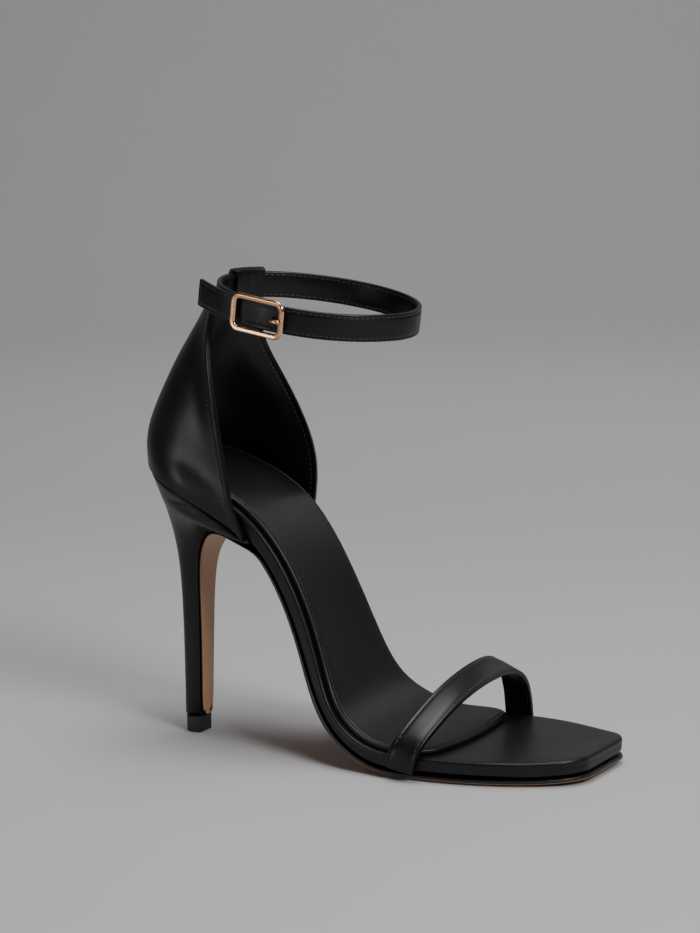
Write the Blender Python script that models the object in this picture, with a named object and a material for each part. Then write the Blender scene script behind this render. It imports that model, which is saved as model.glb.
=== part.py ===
"""A right strappy sandal on a slim high heel: sole layers, heel, heel counter, toe strap, ankle strap, buckle.

The shoe stands on z = 0 with its toe along +X and its inner (medial) side along +Y. Lengths are metres.
Along the sole, a place is given by its distance from the back end of the platform, measured on the
platform's top, and by a depth below that top.
"""

import math
from collections import namedtuple

import bmesh
import bpy
import numpy as np
from mathutils import Matrix, Vector

# Clearance between two pieces that touch
GAP = 0.0003

# Sole layers
SOLE_LENGTH = 0.197
HEEL_RISE = 0.1048
BALL_WIDTH = 0.080
OUTSOLE = 0.0026
OUTSOLE_WAIST = 0.0016
PLATFORM = 0.0066
SOCK = 0.0022
SOCK_INSET = 0.0024
SOCK_REACH = 0.722
SOCK_CORNER = 0.010
SOCK_PULL_LAT = 0.0075
SOCK_PULL_MED = 0.0035
SEAT_RADIUS = 0.027
TOE_CORNER = 0.0085
TOE_SLANT = 0.0024
FOOTBED_CUP = 0.0012
TOP_BEAD = 0.0020
BEAD_STEP = 0.00035
EDGE_RADIUS = 0.0010
SOLE_TUCK = 0.0060
OUTSOLE_INSET = 0.0008
WAIST_BLEND = 0.020
STATION_STEP = 0.0062
THIN_BED = 0.64

# Heel and top piece
TOP_PIECE = 0.0066
TOP_PIECE_WIDTH = 0.0104
TOP_PIECE_DEPTH = 0.0083
TOP_PIECE_CORNER = 0.0009
TIP_BACK = 0.0120
FLAP = 0.0013
HEEL_SEAT_FRONT = 0.0035

# Heel counter
COUNTER_WALL = 0.0018
FOLD_STEP = 0.00045
FOLD_LAP = 0.0005
TAB_WALL = 0.0013

# Toe strap
TOE_STRAP_WIDTH = 0.0118
TOE_STRAP = 0.0021
TOE_STRAP_RISE = 0.0238
TOE_STRAP_AT = 0.1358

# Ankle strap: an oval loop in a tilted plane
STRAP_WIDTH = 0.0106
STRAP = 0.0018
LOOP_LENGTH = 0.0815
LOOP_WIDTH = 0.0642
LOOP_CENTRE = 0.0734
LOOP_HEIGHT = 0.1756
LOOP_TILT = math.radians(8.0)
LOOP_ROLL = math.radians(2.9)
STRAP_EDGE = 0.0006
HOLE = 0.0021
HOLE_PITCH = 0.0073
HOLE_NUMBERS = (0, -1, -2, -3, 1, 2)

# Buckle
BUCKLE_LENGTH = 0.0246
BUCKLE_HEIGHT = 0.0152
BUCKLE_CORNER = 0.0040
RAIL_RADIUS = 0.00112
BAR_RADIUS = 0.0007
PRONG_RADIUS = 0.0008
BUCKLE_ANGLE = math.radians(79.5)
PRONG_HOLE = 0.0066

FOREFOOT_TOP = OUTSOLE + GAP + PLATFORM
HALF_BALL = BALL_WIDTH / 2
COLLECTION = "Strappy sandal"

# The platform's top: its middle line as shares of SOLE_LENGTH and HEEL_RISE, its half widths as shares of
# half of BALL_WIDTH, and its thickness as a share of PLATFORM
BedRow = namedtuple("BedRow", "along rise lateral medial thick")
BED_ROWS = [
    BedRow(0.0145, 1.000, 0.705, 0.705, 0.38),
    BedRow(0.0760, 0.978, 0.714, 0.708, 0.60),
    BedRow(0.1480, 0.934, 0.722, 0.710, 0.86),
    BedRow(0.2200, 0.875, 0.720, 0.702, 0.98),
    BedRow(0.2690, 0.817, 0.707, 0.674, 0.94),
    BedRow(0.3180, 0.720, 0.692, 0.645, 0.84),
    BedRow(0.3675, 0.571, 0.690, 0.625, 0.79),
    BedRow(0.4080, 0.395, 0.715, 0.665, 0.76),
    BedRow(0.4395, 0.235, 0.768, 0.755, 0.73),
    BedRow(0.4730, 0.118, 0.838, 0.870, 0.74),
    BedRow(0.5135, 0.053, 0.905, 0.960, 0.83),
    BedRow(0.5580, 0.018, 0.955, 1.000, 0.93),
    BedRow(0.6190, 0.002, 0.980, 1.010, 1.00),
    BedRow(0.6950, 0.000, 0.985, 1.010, 1.00),
    BedRow(0.7560, 0.000, 0.960, 0.998, 1.00),
    BedRow(0.8080, 0.000, 0.912, 0.955, 1.00),
    BedRow(0.8570, 0.001, 0.840, 0.875, 1.00),
    BedRow(0.9000, 0.004, 0.755, 0.768, 1.00),
    BedRow(0.9400, 0.009, 0.655, 0.652, 1.00),
    BedRow(0.9820, 0.016, 0.550, 0.540, 1.00),
]
TREAD_START = 0.54
SETTLE = 0.00035

# Path of the outsole's flap, from the waist over the breast of the heel down to the top piece:
# shares of SOLE_LENGTH and of HEEL_RISE, and of half of BALL_WIDTH
FlapRow = namedtuple("FlapRow", "along height half")
FLAP_ROWS = [
    FlapRow(0.2490, 0.7985, 0.600),
    FlapRow(0.2130, 0.8150, 0.515),
    FlapRow(0.1830, 0.8185, 0.428),
    FlapRow(0.1570, 0.8090, 0.350),
    FlapRow(0.1370, 0.7810, 0.285),
    FlapRow(0.1220, 0.7330, 0.228),
    FlapRow(0.1120, 0.6650, 0.184),
    FlapRow(0.1080, 0.5460, 0.152),
    FlapRow(0.1065, 0.3750, 0.126),
    FlapRow(0.1030, 0.0663, 0.107),
]
FLAP_LEAVES = 0.318
FLAP_STEPS = 24

# Edge of the outsole, from its upper face down: inset in metres and depth as a share of its thickness, on the
# flap and on the sole
OutsoleEdge = namedtuple("OutsoleEdge", "flap_inset flap_depth sole_inset sole_depth")
OUTSOLE_EDGE = [
    OutsoleEdge(0.0003, 0.0, 0.0004, 0.00),
    OutsoleEdge(0.0000, 0.3, 0.0000, 0.12),
    OutsoleEdge(0.0000, 0.6, 0.0000, 0.62),
    OutsoleEdge(0.0003, 0.9, 0.0007, 0.74),
    OutsoleEdge(0.0007, 1.0, SOLE_TUCK, 1.00),
]

# Rungs of the heel: place on the flap (row number), then the back of the heel as shares of SOLE_LENGTH and
# HEEL_RISE, and the half width as a share of half of BALL_WIDTH. RUNG_STEPS are the places of a rung's points
# from its breast to its back, and RUNG_TURN spreads them over the round seat
HeelRow = namedtuple("HeelRow", "breast back height half")
HEEL_ROWS = [
    HeelRow(0.45, 0.0250, 1.0040, 0.700),
    HeelRow(1.10, 0.0325, 0.9630, 0.635),
    HeelRow(1.75, 0.0385, 0.9220, 0.562),
    HeelRow(2.35, 0.0412, 0.8810, 0.485),
    HeelRow(3.00, 0.0455, 0.8360, 0.410),
    HeelRow(3.90, 0.0502, 0.7770, 0.332),
    HeelRow(4.75, 0.0540, 0.7150, 0.268),
    HeelRow(5.50, 0.0566, 0.6480, 0.218),
    HeelRow(6.20, 0.0583, 0.5590, 0.180),
    HeelRow(7.00, 0.0591, 0.4390, 0.150),
    HeelRow(7.90, 0.0594, 0.2700, 0.134),
    HeelRow(9.00, 0.0594, 0.0663, 0.126),
]
RUNG_STEPS = (0.0, 0.06, 0.16, 0.30, 0.45, 0.60, 0.73, 0.84, 0.92, 0.975)
RUNG_TURN = math.radians(91.8)
RUNG_WAIST = 0.34
RUNG_POWER = 2.3

# Levels of the counter above the footbed. Each has the back, then the lateral and the medial front edge,
# as shares of LOOP_CENTRE, LOOP_HEIGHT and half of LOOP_WIDTH, and how far the section has turned into the
# oval of the ankle strap
CounterRow = namedtuple("CounterRow", "back rise lat_x lat_y lat_z med_x med_y med_z oval")
COUNTER_ROWS = [
    CounterRow(0.021, 0.690, 0.663, 0.905, 0.601, 0.786, 0.895, 0.611, 0.10),
    CounterRow(0.084, 0.776, 0.628, 0.900, 0.683, 0.752, 0.880, 0.683, 0.30),
    CounterRow(0.171, 0.849, 0.588, 0.872, 0.767, 0.684, 0.855, 0.756, 0.55),
    CounterRow(0.264, 0.916, 0.551, 0.815, 0.849, 0.594, 0.800, 0.834, 0.80),
    CounterRow(0.345, 0.968, 0.525, 0.740, 0.916, 0.520, 0.710, 0.908, 0.95),
]
EDGE_BOTTOM_LAT = 0.300
EDGE_BOTTOM_MED = 0.306
EDGE_TOP_LAT = 0.257
EDGE_TOP_MED = 0.290
OVAL_EDGE_LAT = math.radians(38.0)
OVAL_EDGE_MED = math.radians(33.5)
TAB_FROM = 0.21
COUNTER_COLUMNS = 24
COUNTER_LEVELS = 16
COUNTER_BINDING = 0.07
SEAT_TURN = 0.62
CUP_TURN = 0.62
CUP_EASE = 0.0006
CUP_BACK = 0.55

# Middle line of the toe strap: shares of TOE_STRAP_WIDTH from TOE_STRAP_AT, of half of BALL_WIDTH and of
# TOE_STRAP_RISE above the forefoot, and the forward lean of the band in degrees
ToeRow = namedtuple("ToeRow", "along across rise lean")
TOE_ROWS = [
    ToeRow(-0.90, -1.026, -0.225, 0.0),
    ToeRow(-0.84, -1.030, -0.090, 0.0),
    ToeRow(-0.71, -1.012, 0.110, 2.0),
    ToeRow(-0.49, -0.880, 0.350, 6.0),
    ToeRow(-0.29, -0.640, 0.580, 10.0),
    ToeRow(-0.12, -0.360, 0.770, 15.0),
    ToeRow(0.04, 0.000, 0.915, 21.0),
    ToeRow(0.19, 0.350, 0.985, 26.0),
    ToeRow(0.30, 0.640, 0.960, 25.0),
    ToeRow(0.37, 0.860, 0.770, 20.0),
    ToeRow(0.40, 0.985, 0.440, 11.0),
    ToeRow(0.40, 1.040, 0.110, 3.0),
    ToeRow(0.40, 1.055, -0.100, 0.0),
    ToeRow(0.40, 1.055, -0.225, 0.0),
]

# Free end of the ankle strap, from the buckle to its tip: degrees from the back of the loop, the distance of
# its middle line outside the inner turn's, as a share of its full clearance over the counter, and its lift
# above the loop's plane as a share of STRAP_WIDTH
TipRow = namedtuple("TipRow", "angle out lift")
TIP_ROWS = [
    TipRow(-288.0, 0.45, 0.00),
    TipRow(-294.0, 0.53, 0.01),
    TipRow(-300.0, 0.72, 0.03),
    TipRow(-306.0, 0.95, 0.05),
    TipRow(-312.0, 1.12, 0.08),
    TipRow(-318.0, 1.32, 0.11),
    TipRow(-327.0, 1.68, 0.15),
]


def natural_spline(knots, values):
    """Returns a smooth function of the knot that passes through each row of values."""
    knots = np.array(knots, dtype=float)
    values = np.array(values, dtype=float)
    count = len(knots)
    step = np.diff(knots)
    matrix = np.eye(count)
    right = np.zeros_like(values)
    for i in range(1, count - 1):
        matrix[i, i - 1 : i + 2] = step[i - 1], 2 * (step[i - 1] + step[i]), step[i]
        right[i] = 6 * ((values[i + 1] - values[i]) / step[i] - (values[i] - values[i - 1]) / step[i - 1])
    bend = np.linalg.solve(matrix, right)

    def at(knot):
        i = min(max(int(np.searchsorted(knots, knot)) - 1, 0), count - 2)
        before = knot - knots[i]
        after = knots[i + 1] - knot
        size = step[i]
        cubic = (bend[i] * after**3 + bend[i + 1] * before**3) / (6 * size)
        left = (values[i] / size - bend[i] * size / 6) * after
        return cubic + left + (values[i + 1] / size - bend[i + 1] * size / 6) * before

    return at


def chord_knots(points):
    """Running length of the polyline through the points."""
    knots = [0.0]
    for a, b in zip(points, points[1:]):
        knots.append(knots[-1] + math.dist(a, b))
    return knots


def smoothstep(value, low, high):
    """0 below low, 1 above high, with a soft passage between."""
    share = min(max((value - low) / (high - low), 0.0), 1.0)
    return share * share * (3 - 2 * share)


def settled(height):
    """Height above the forefoot, made exactly level where it almost is."""
    off = height - FOREFOOT_TOP
    return FOREFOOT_TOP + math.copysign(max(abs(off) - SETTLE, 0.0), off)


BED_POINTS = [(row.along * SOLE_LENGTH, FOREFOOT_TOP + row.rise * HEEL_RISE) for row in BED_ROWS]
BED_KNOTS = chord_knots(BED_POINTS)
BED_LENGTH = BED_KNOTS[-1]
BED_CURVE = natural_spline(
    BED_KNOTS,
    [
        (x, z, row.lateral * HALF_BALL, row.medial * HALF_BALL, row.thick * PLATFORM)
        for (x, z), row in zip(BED_POINTS, BED_ROWS)
    ],
)


def bed_centre(u):
    """Middle of the platform's top at the distance u from its back end."""
    inside = min(max(u, 0.0), BED_LENGTH)
    x, z = BED_CURVE(inside)[:2]
    if x > TREAD_START * SOLE_LENGTH:
        z = settled(z)
    if u < 0.0:
        ahead = BED_CURVE(0.001)[:2]
        back = BED_CURVE(0.0)[:2]
        slope = Vector((ahead[0] - back[0], ahead[1] - back[1])).normalized()
        return Vector((x + slope.x * u, z + slope.y * u))
    return Vector((x, z))


def bed_frame(u):
    """Centre, forward direction and upward normal of the platform's top, in the XZ plane."""
    reach = 0.0008
    low = max(u - reach, -0.01)
    high = min(u + reach, BED_LENGTH)
    along = (bed_centre(high) - bed_centre(low)).normalized()
    return bed_centre(u), along, Vector((-along.y, along.x))


def bed_at_share(share):
    """Distance along the bed at which its centre reaches this share of the sole's length."""
    target = share * SOLE_LENGTH
    low, high = 0.0, BED_LENGTH
    for _ in range(40):
        middle = (low + high) / 2
        if bed_centre(middle).x < target:
            low = middle
        else:
            high = middle
    return low


def end_round(distance, radius):
    """Share of the full width at this distance from a half-round end."""
    if distance >= radius:
        return 1.0
    inside = 1 - max(distance, 0.0) / radius
    return math.sqrt(max(1 - inside * inside, 0.0))


def bed_half(u, side, out=0.0):
    """Half width at u on the lateral (-1) or medial (1) side of the outline grown by out."""
    row = BED_CURVE(min(max(u, 0.0), BED_LENGTH))
    full = row[2] if side < 0 else row[3]
    seat = end_round(u + out, SEAT_RADIUS + out)
    left = BED_LENGTH - u
    corner = 0.0
    if left < TOE_CORNER:
        inside = 1 - max(left, 0.0) / TOE_CORNER
        corner = TOE_CORNER * (1 - math.sqrt(max(1 - inside * inside, 0.0)))
    return (full + out) * seat - corner


def platform_depth(u):
    """Thickness of the platform at u."""
    return BED_CURVE(min(max(u, 0.0), BED_LENGTH))[4]


def toe_slant(u, across):
    """Forward shift that sets the toe end slightly askew."""
    return TOE_SLANT * across / HALF_BALL * smoothstep(u, 0.75 * BED_LENGTH, BED_LENGTH)


def cup(u):
    """How far the footbed's edges stand above its middle."""
    return FOOTBED_CUP * (1 - smoothstep(u, 0.46 * BED_LENGTH, 0.62 * BED_LENGTH))


def bed_point(u, across, depth, cupped=False):
    """Point at u, across from the middle, at a depth below the platform's top."""
    centre, _, normal = bed_frame(u)
    half = max(bed_half(u, math.copysign(1, across)), 0.4 * HALF_BALL)
    lift = cup(u) * min(abs(across) / half, 1.2) ** 2 if cupped else 0.0
    rise = lift - depth
    return Vector((centre.x + normal.x * rise + toe_slant(u, across), across, centre.y + normal.y * rise))


def seat_stations(start, end, spacing, radius):
    """Distances from start to end, close together round the seat's back."""
    back = [start + radius * (1 - math.cos(math.radians(angle))) for angle in (4, 14, 26, 38, 50, 62, 75, 90)]
    count = max(2, round((end - back[-1]) / spacing))
    return back + [back[-1] + (end - back[-1]) * i / count for i in range(1, count + 1)]


def toe_stations(end):
    """Distances that follow the toe's corners up to the front end."""
    return [end - TOE_CORNER * (1 - math.cos(math.radians(angle))) for angle in (90, 70, 52, 36, 20, 6)]


def finish_mesh(name, mesh_maker, material):
    """Makes an object from a filled bmesh, with its faces pointing out and its round sides shaded smooth."""
    bm = bmesh.new()
    mesh_maker(bm)
    bmesh.ops.recalc_face_normals(bm, faces=bm.faces)
    mesh = bpy.data.meshes.new(name)
    bm.to_mesh(mesh)
    bm.free()
    mesh.shade_smooth()
    mesh.set_sharp_from_angle(angle=math.radians(35))
    return add_object(name, mesh, material)


def add_object(name, mesh, material):
    """Puts a mesh in the shoe's collection as a named piece."""
    obj = bpy.data.objects.new(name, mesh)
    obj.data.materials.append(material)
    bpy.data.collections[COLLECTION].objects.link(obj)
    return obj


def bridge(bm, first, second):
    """Quads between two closed rings of as many vertices."""
    count = len(first)
    for i in range(count):
        j = (i + 1) % count
        bm.faces.new((first[i], first[j], second[j], second[i]))


def even(inset):
    """The same inset all along a layer."""
    return lambda _u: inset


def slab(name, material, stations, levels, point, columns=4):
    """A layer: one grid of stations on top, one below, and its edge profile all the way round.

    stations lists (u, lateral half width, medial half width), levels lists (inset, depth, cupped) from top
    to bottom, with inset a function of u, and point turns (u, across, depth, cupped) into a place.
    """
    rows = len(stations)
    grid = []
    for u, lateral, medial in stations:
        grid.append([Vector((u, -lateral + (lateral + medial) * j / columns)) for j in range(columns + 1)])
    rim = [(0, j) for j in range(columns, 0, -1)]
    rim += [(i, 0) for i in range(rows - 1)]
    rim += [(rows - 1, j) for j in range(columns)]
    rim += [(i, columns) for i in range(rows - 1, 0, -1)]

    def inset_rim(inset):
        places = [grid[i][j] for i, j in rim]
        moved = []
        for k, place in enumerate(places):
            along = (places[(k + 1) % len(places)] - places[k - 1]).normalized()
            moved.append(place + inset(place.x) * Vector((-along.y, along.x)))
        return moved

    def make(bm):
        rings = []
        for inset, depth, cupped in levels:
            rings.append([bm.verts.new(point(p.x, p.y, depth, cupped)) for p in inset_rim(inset)])
        for upper, lower in zip(rings, rings[1:]):
            bridge(bm, upper, lower)
        for ring, (inset, depth, cupped) in ((rings[0], levels[0]), (rings[-1], levels[-1])):
            edge = dict(zip(rim, ring))
            flat = dict(zip(rim, inset_rim(inset)))
            for i in range(1, rows - 1):
                for j in range(1, columns):
                    place = flat[i, 0].lerp(flat[i, columns], j / columns)
                    edge[i, j] = bm.verts.new(point(place.x, place.y, depth, cupped))
            for i in range(rows - 1):
                for j in range(columns):
                    bm.faces.new((edge[i, j], edge[i + 1, j], edge[i + 1, j + 1], edge[i, j + 1]))

    return finish_mesh(name, make, material)


def make_platform(material):
    """The wrapped platform: a bead of the top cover, then the side wall, rounded under."""
    stations = seat_stations(0.0, BED_LENGTH - TOE_CORNER, STATION_STEP, SEAT_RADIUS)[:-1]
    stations += toe_stations(BED_LENGTH)
    rows = [(u, bed_half(u, -1), bed_half(u, 1)) for u in stations]
    levels = [
        (even(EDGE_RADIUS), 0.0, True),
        (even(0.3 * EDGE_RADIUS), 0.3 * EDGE_RADIUS, True),
        (even(0.0), EDGE_RADIUS, True),
        (even(0.0), TOP_BEAD, True),
        (even(BEAD_STEP), TOP_BEAD + BEAD_STEP, True),
        (even(BEAD_STEP), PLATFORM - 1.5 * EDGE_RADIUS, False),
        (even(BEAD_STEP + 1.2 * EDGE_RADIUS), PLATFORM, False),
    ]

    def point(u, across, depth, cupped):
        thin = min(platform_depth(u) / (THIN_BED * PLATFORM), 1.0)
        depth = depth * thin if cupped else platform_depth(u) - (PLATFORM - depth) * thin
        return bed_point(u, across, depth, cupped)

    return slab("platform", material, rows, levels, point)


SOCK_END = bed_at_share(SOCK_REACH)


def sock_front(u, across, depth, cupped):
    """The sock's place on the bed, with its front end drawn back at the sides."""
    pull = SOCK_PULL_LAT if across < 0 else SOCK_PULL_MED
    share = smoothstep(u, 0.80 * SOCK_END, SOCK_END)
    return bed_point(u - pull * share * (across / HALF_BALL) ** 2, across, depth, cupped)


def make_sock(material):
    """The padded sock: it lies on the platform, inside its edge, and stops ahead of the toe strap."""
    angles = (90, 68, 48, 30, 14)
    stations = seat_stations(SOCK_INSET, SOCK_END - SOCK_CORNER, STATION_STEP, SEAT_RADIUS)[:-1]
    stations += [SOCK_END - SOCK_CORNER * (1 - math.cos(math.radians(angle))) for angle in angles]
    rows = []
    for u in stations:
        inside = 1 - min(SOCK_END - u, SOCK_CORNER) / SOCK_CORNER
        corner = SOCK_CORNER * (1 - math.sqrt(1 - inside * inside))
        rows.append((u, bed_half(u, -1, -SOCK_INSET) - corner, bed_half(u, 1, -SOCK_INSET) - corner))
    levels = [
        (even(0.9 * SOCK), -GAP - SOCK, True),
        (even(0.35 * SOCK), -GAP - 0.88 * SOCK, True),
        (even(0.0), -GAP - 0.45 * SOCK, True),
        (even(0.12 * SOCK), -GAP, True),
    ]
    return slab("sock", material, rows, levels, sock_front)


def flap_curve():
    """Smooth path of the flap's upper face, as a function of the flap's row number."""
    values = []
    for row in FLAP_ROWS:
        height = row.height * HEEL_RISE
        if row is FLAP_ROWS[-1]:
            height = TOP_PIECE + GAP
        values.append((row.along * SOLE_LENGTH, height, row.half * HALF_BALL))
    return natural_spline(range(len(values)), values)


FLAP_CURVE = flap_curve()


def outsole_path():
    """Stations (x, z, lateral, medial, thickness) of the outsole's upper face, from the top piece to the toe."""
    stations = []
    last = len(FLAP_ROWS) - 1
    for i in range(FLAP_STEPS, -1, -1):
        x, z, half = FLAP_CURVE(last * i / FLAP_STEPS)
        stations.append((x, z, half, half, FLAP))
    leave = bed_at_share(FLAP_LEAVES)
    bed = seat_stations(leave - SEAT_RADIUS, BED_LENGTH - TOE_CORNER, STATION_STEP, SEAT_RADIUS)[7:-1]
    for u in bed + toe_stations(BED_LENGTH):
        place = bed_point(u, 0.0, platform_depth(u) + GAP)
        waist = FLAP + (OUTSOLE_WAIST - FLAP) * smoothstep(u, leave, leave + WAIST_BLEND)
        thick = waist + (OUTSOLE - waist) * smoothstep(u, 0.44 * BED_LENGTH, 0.60 * BED_LENGTH)
        stations.append((place.x, place.z, bed_half(u, -1), bed_half(u, 1), thick))
    return stations


def make_outsole(material):
    """The thin outsole: it runs from the toe to the waist, and on down the breast of the heel as a flap."""
    path = outsole_path()
    knots = chord_knots([(x, z) for x, z, *_ in path])
    curve = natural_spline(knots, path)
    sole_from = knots[FLAP_STEPS + 1]

    def sole_share(u):
        """0 on the flap, 1 on the sole."""
        return smoothstep(u, sole_from - 0.5 * WAIST_BLEND, sole_from + 1.5 * WAIST_BLEND)

    def inset_of(edge):
        return lambda u: edge.flap_inset + (edge.sole_inset - edge.flap_inset) * sole_share(u)

    def point(u, across, level, _cupped):
        inside = min(max(u, 0.0), knots[-1])
        x, z, _, _, thick = curve(inside)
        low = curve(max(inside - 0.0006, 0.0))
        high = curve(min(inside + 0.0006, knots[-1]))
        along = Vector((high[0] - low[0], high[1] - low[1])).normalized()
        edge = OUTSOLE_EDGE[level]
        drop = thick * (edge.flap_depth + (edge.sole_depth - edge.flap_depth) * sole_share(u))
        x += along.x * (u - inside) + toe_slant(BED_LENGTH - (knots[-1] - u), across)
        z += along.y * (u - inside)
        height = z - along.x * drop
        if u > sole_from and z < FOREFOOT_TOP:
            height = max(height, 0.0)
        return Vector((x + along.y * drop, across, height))

    rows = []
    for knot, (_, _, lateral, medial, _) in zip(knots, path):
        edge = OUTSOLE_INSET * smoothstep(knot, sole_from - WAIST_BLEND, sole_from)
        rows.append((knot, lateral - edge, medial - edge))
    levels = [(inset_of(edge), number, False) for number, edge in enumerate(OUTSOLE_EDGE)]
    return slab("outsole", material, rows, levels, point, columns=2)


def ring_side(position, breast_share):
    """Half width of a heel rung as a share of its widest, from breast (0) to back (1)."""
    if position < RUNG_WAIST:
        return breast_share + (1 - breast_share) * math.sin(math.pi / 2 * position / RUNG_WAIST)
    inside = (position - RUNG_WAIST) / (1 - RUNG_WAIST)
    return max(1 - inside**RUNG_POWER, 0.0) ** (1 / RUNG_POWER)


def heel_rungs():
    """Closed rings of the heel, from the seat down to the top piece."""
    front = bed_at_share(FLAP_LEAVES) - HEEL_SEAT_FRONT
    out = GAP + COUNTER_WALL
    rings = []
    top = {-1: [], 1: []}
    for side in (-1, 1):
        for step in RUNG_STEPS:
            u = front - (front + out) * (1 - math.cos(RUNG_TURN * step))
            grow = out * min(step / RUNG_STEPS[2], 1.0)
            half = bed_half(u, side, grow) if u > 0 else bed_half(u, side, out)
            top[side].append(bed_point(u, side * half, platform_depth(u) + GAP))
    back = bed_point(-out, 0.0, platform_depth(0.0) + GAP)
    breast = bed_point(front, 0.0, platform_depth(front) + GAP)
    rings.append([breast] + top[-1] + [back] + top[1][::-1])
    for row in HEEL_ROWS:
        flap = FLAP_CURVE(row.breast)
        ahead = FLAP_CURVE(min(row.breast + 0.02, len(FLAP_ROWS) - 1))
        behind = FLAP_CURVE(max(row.breast - 0.02, 0.0))
        along = Vector((ahead[0] - behind[0], ahead[1] - behind[1])).normalized()
        normal = Vector((along.y, -along.x))
        start = Vector((flap[0], flap[1])) + normal * GAP
        end = Vector((row.back * SOLE_LENGTH, row.height * HEEL_RISE))
        if row is HEEL_ROWS[-1]:
            start.y = TOP_PIECE + GAP
            end.y = TOP_PIECE + GAP
        half = row.half * HALF_BALL
        breast_share = min(flap[2] / half, 0.97)
        sides = {}
        for side in (-1, 1):
            sides[side] = []
            for step in RUNG_STEPS:
                place = start.lerp(end, step)
                width = half * ring_side(step, breast_share)
                sides[side].append(Vector((place.x, side * width, place.y)))
        middle = Vector((start.x, 0.0, start.y))
        rings.append([middle] + sides[-1] + [Vector((end.x, 0.0, end.y))] + sides[1][::-1])
    return rings


def make_heel(material):
    """The slim heel: a seat as wide as the counter that narrows fast into a straight stem."""

    def make(bm):
        rings = [[bm.verts.new(place) for place in ring] for ring in heel_rungs()]
        for upper, lower in zip(rings, rings[1:]):
            bridge(bm, upper, lower)
        for ring in (rings[0], rings[-1]):
            count = len(ring)
            bm.faces.new((ring[0], ring[1], ring[count - 1]))
            for i in range(1, count // 2 - 1):
                bm.faces.new((ring[i], ring[i + 1], ring[count - i - 1], ring[count - i]))
            middle = count // 2
            bm.faces.new((ring[middle - 1], ring[middle], ring[middle + 1]))

    return finish_mesh("heel", make, material)


def make_top_piece(material):
    """The top piece under the heel: a small block with a straight breast and a round back."""
    half = TOP_PIECE_WIDTH / 2
    front = TIP_BACK + TOP_PIECE_DEPTH
    corner = TOP_PIECE_CORNER
    outline = [(front, -half + corner), (front, half - corner), (front - corner, half)]
    centre = TIP_BACK + half
    for angle in range(90, 271, 15):
        turn = math.radians(angle)
        outline.append((centre + half * math.cos(turn), half * math.sin(turn)))
    outline.append((front - corner, -half))
    bm = bmesh.new()
    base = [bm.verts.new((x, y, 0.0)) for x, y in outline]
    face = bm.faces.new(base)
    top = bmesh.ops.extrude_face_region(bm, geom=[face])
    moved = [item for item in top["geom"] if isinstance(item, bmesh.types.BMVert)]
    bmesh.ops.translate(bm, vec=(0.0, 0.0, TOP_PIECE), verts=moved)
    bmesh.ops.recalc_face_normals(bm, faces=bm.faces)
    mesh = bpy.data.meshes.new("top_piece")
    bm.to_mesh(mesh)
    bm.free()
    mesh.shade_smooth()
    mesh.set_sharp_from_angle(angle=math.radians(35))
    return add_object("top_piece", mesh, material)


LOOP_FRAME = (
    Matrix.Translation((LOOP_CENTRE, 0.0, LOOP_HEIGHT))
    @ Matrix.Rotation(LOOP_TILT, 4, "Y")
    @ Matrix.Rotation(LOOP_ROLL, 4, "X")
)


def oval(angle, out):
    """Point of the ankle loop's plane: angle from the back towards the lateral side, out from its middle line."""
    return Vector((-(LOOP_LENGTH / 2 + out) * math.cos(angle), -(LOOP_WIDTH / 2 + out) * math.sin(angle)))


def oval_place(angle, out, lift):
    """The same point in space, lifted along the strap's width."""
    flat = oval(angle, out)
    return LOOP_FRAME @ Vector((flat.x, flat.y, lift))


def counter_column(share, out):
    """Places of the counter's wall from the seat to the ankle strap, at a share from back (0) to edge (1).

    A negative share is the lateral side. out is the distance outside the inner face.
    """
    side = -1 if share < 0 else 1
    part = abs(share)
    end_low = bed_at_share(EDGE_BOTTOM_LAT if side < 0 else EDGE_BOTTOM_MED)
    end_high = bed_at_share(EDGE_TOP_LAT if side < 0 else EDGE_TOP_MED)
    places = []
    for end, share_down in ((end_low, 1.0), (0.5 * (end_low + end_high), 0.45), (end_high, 0.0)):
        grown = GAP + out + CUP_EASE * (1 - share_down)
        if part < SEAT_TURN:
            angle = math.pi / 2 * part / SEAT_TURN
            u = -grown + (SEAT_RADIUS + grown) * (1 - math.cos(angle))
        else:
            u = SEAT_RADIUS + (end - SEAT_RADIUS) * (part - SEAT_TURN) / (1 - SEAT_TURN)
        places.append(bed_point(u, side * bed_half(u, side, grown), share_down * platform_depth(u)))
    edge_angle = OVAL_EDGE_LAT if side < 0 else OVAL_EDGE_MED
    for row in COUNTER_ROWS:
        back = Vector((row.back * LOOP_CENTRE, 0.0, row.rise * LOOP_HEIGHT))
        edge = Vector((row.lat_x * LOOP_CENTRE, -row.lat_y * LOOP_WIDTH / 2, row.lat_z * LOOP_HEIGHT))
        if side > 0:
            edge = Vector((row.med_x * LOOP_CENTRE, row.med_y * LOOP_WIDTH / 2, row.med_z * LOOP_HEIGHT))
        low_angle = math.pi / 2 * min(part / CUP_TURN, 1.0)
        straight = max(part - CUP_TURN, 0.0) / (1 - CUP_TURN)
        low_x = CUP_BACK * (1 - math.cos(low_angle)) + (1 - CUP_BACK) * straight
        low_y = math.sin(low_angle)
        high = part * edge_angle
        high_x = (1 - math.cos(high)) / (1 - math.cos(edge_angle))
        high_y = math.sin(high) / math.sin(edge_angle)
        along = low_x + (high_x - low_x) * row.oval
        across = low_y + (high_y - low_y) * row.oval
        places.append(Vector((
            back.x + (edge.x - back.x) * along,
            edge.y * across,
            back.z + (edge.z - back.z) * along,
        )))
    places.append(oval_place(-side * part * edge_angle, STRAP / 2 + GAP, 0.0))
    return places


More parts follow.
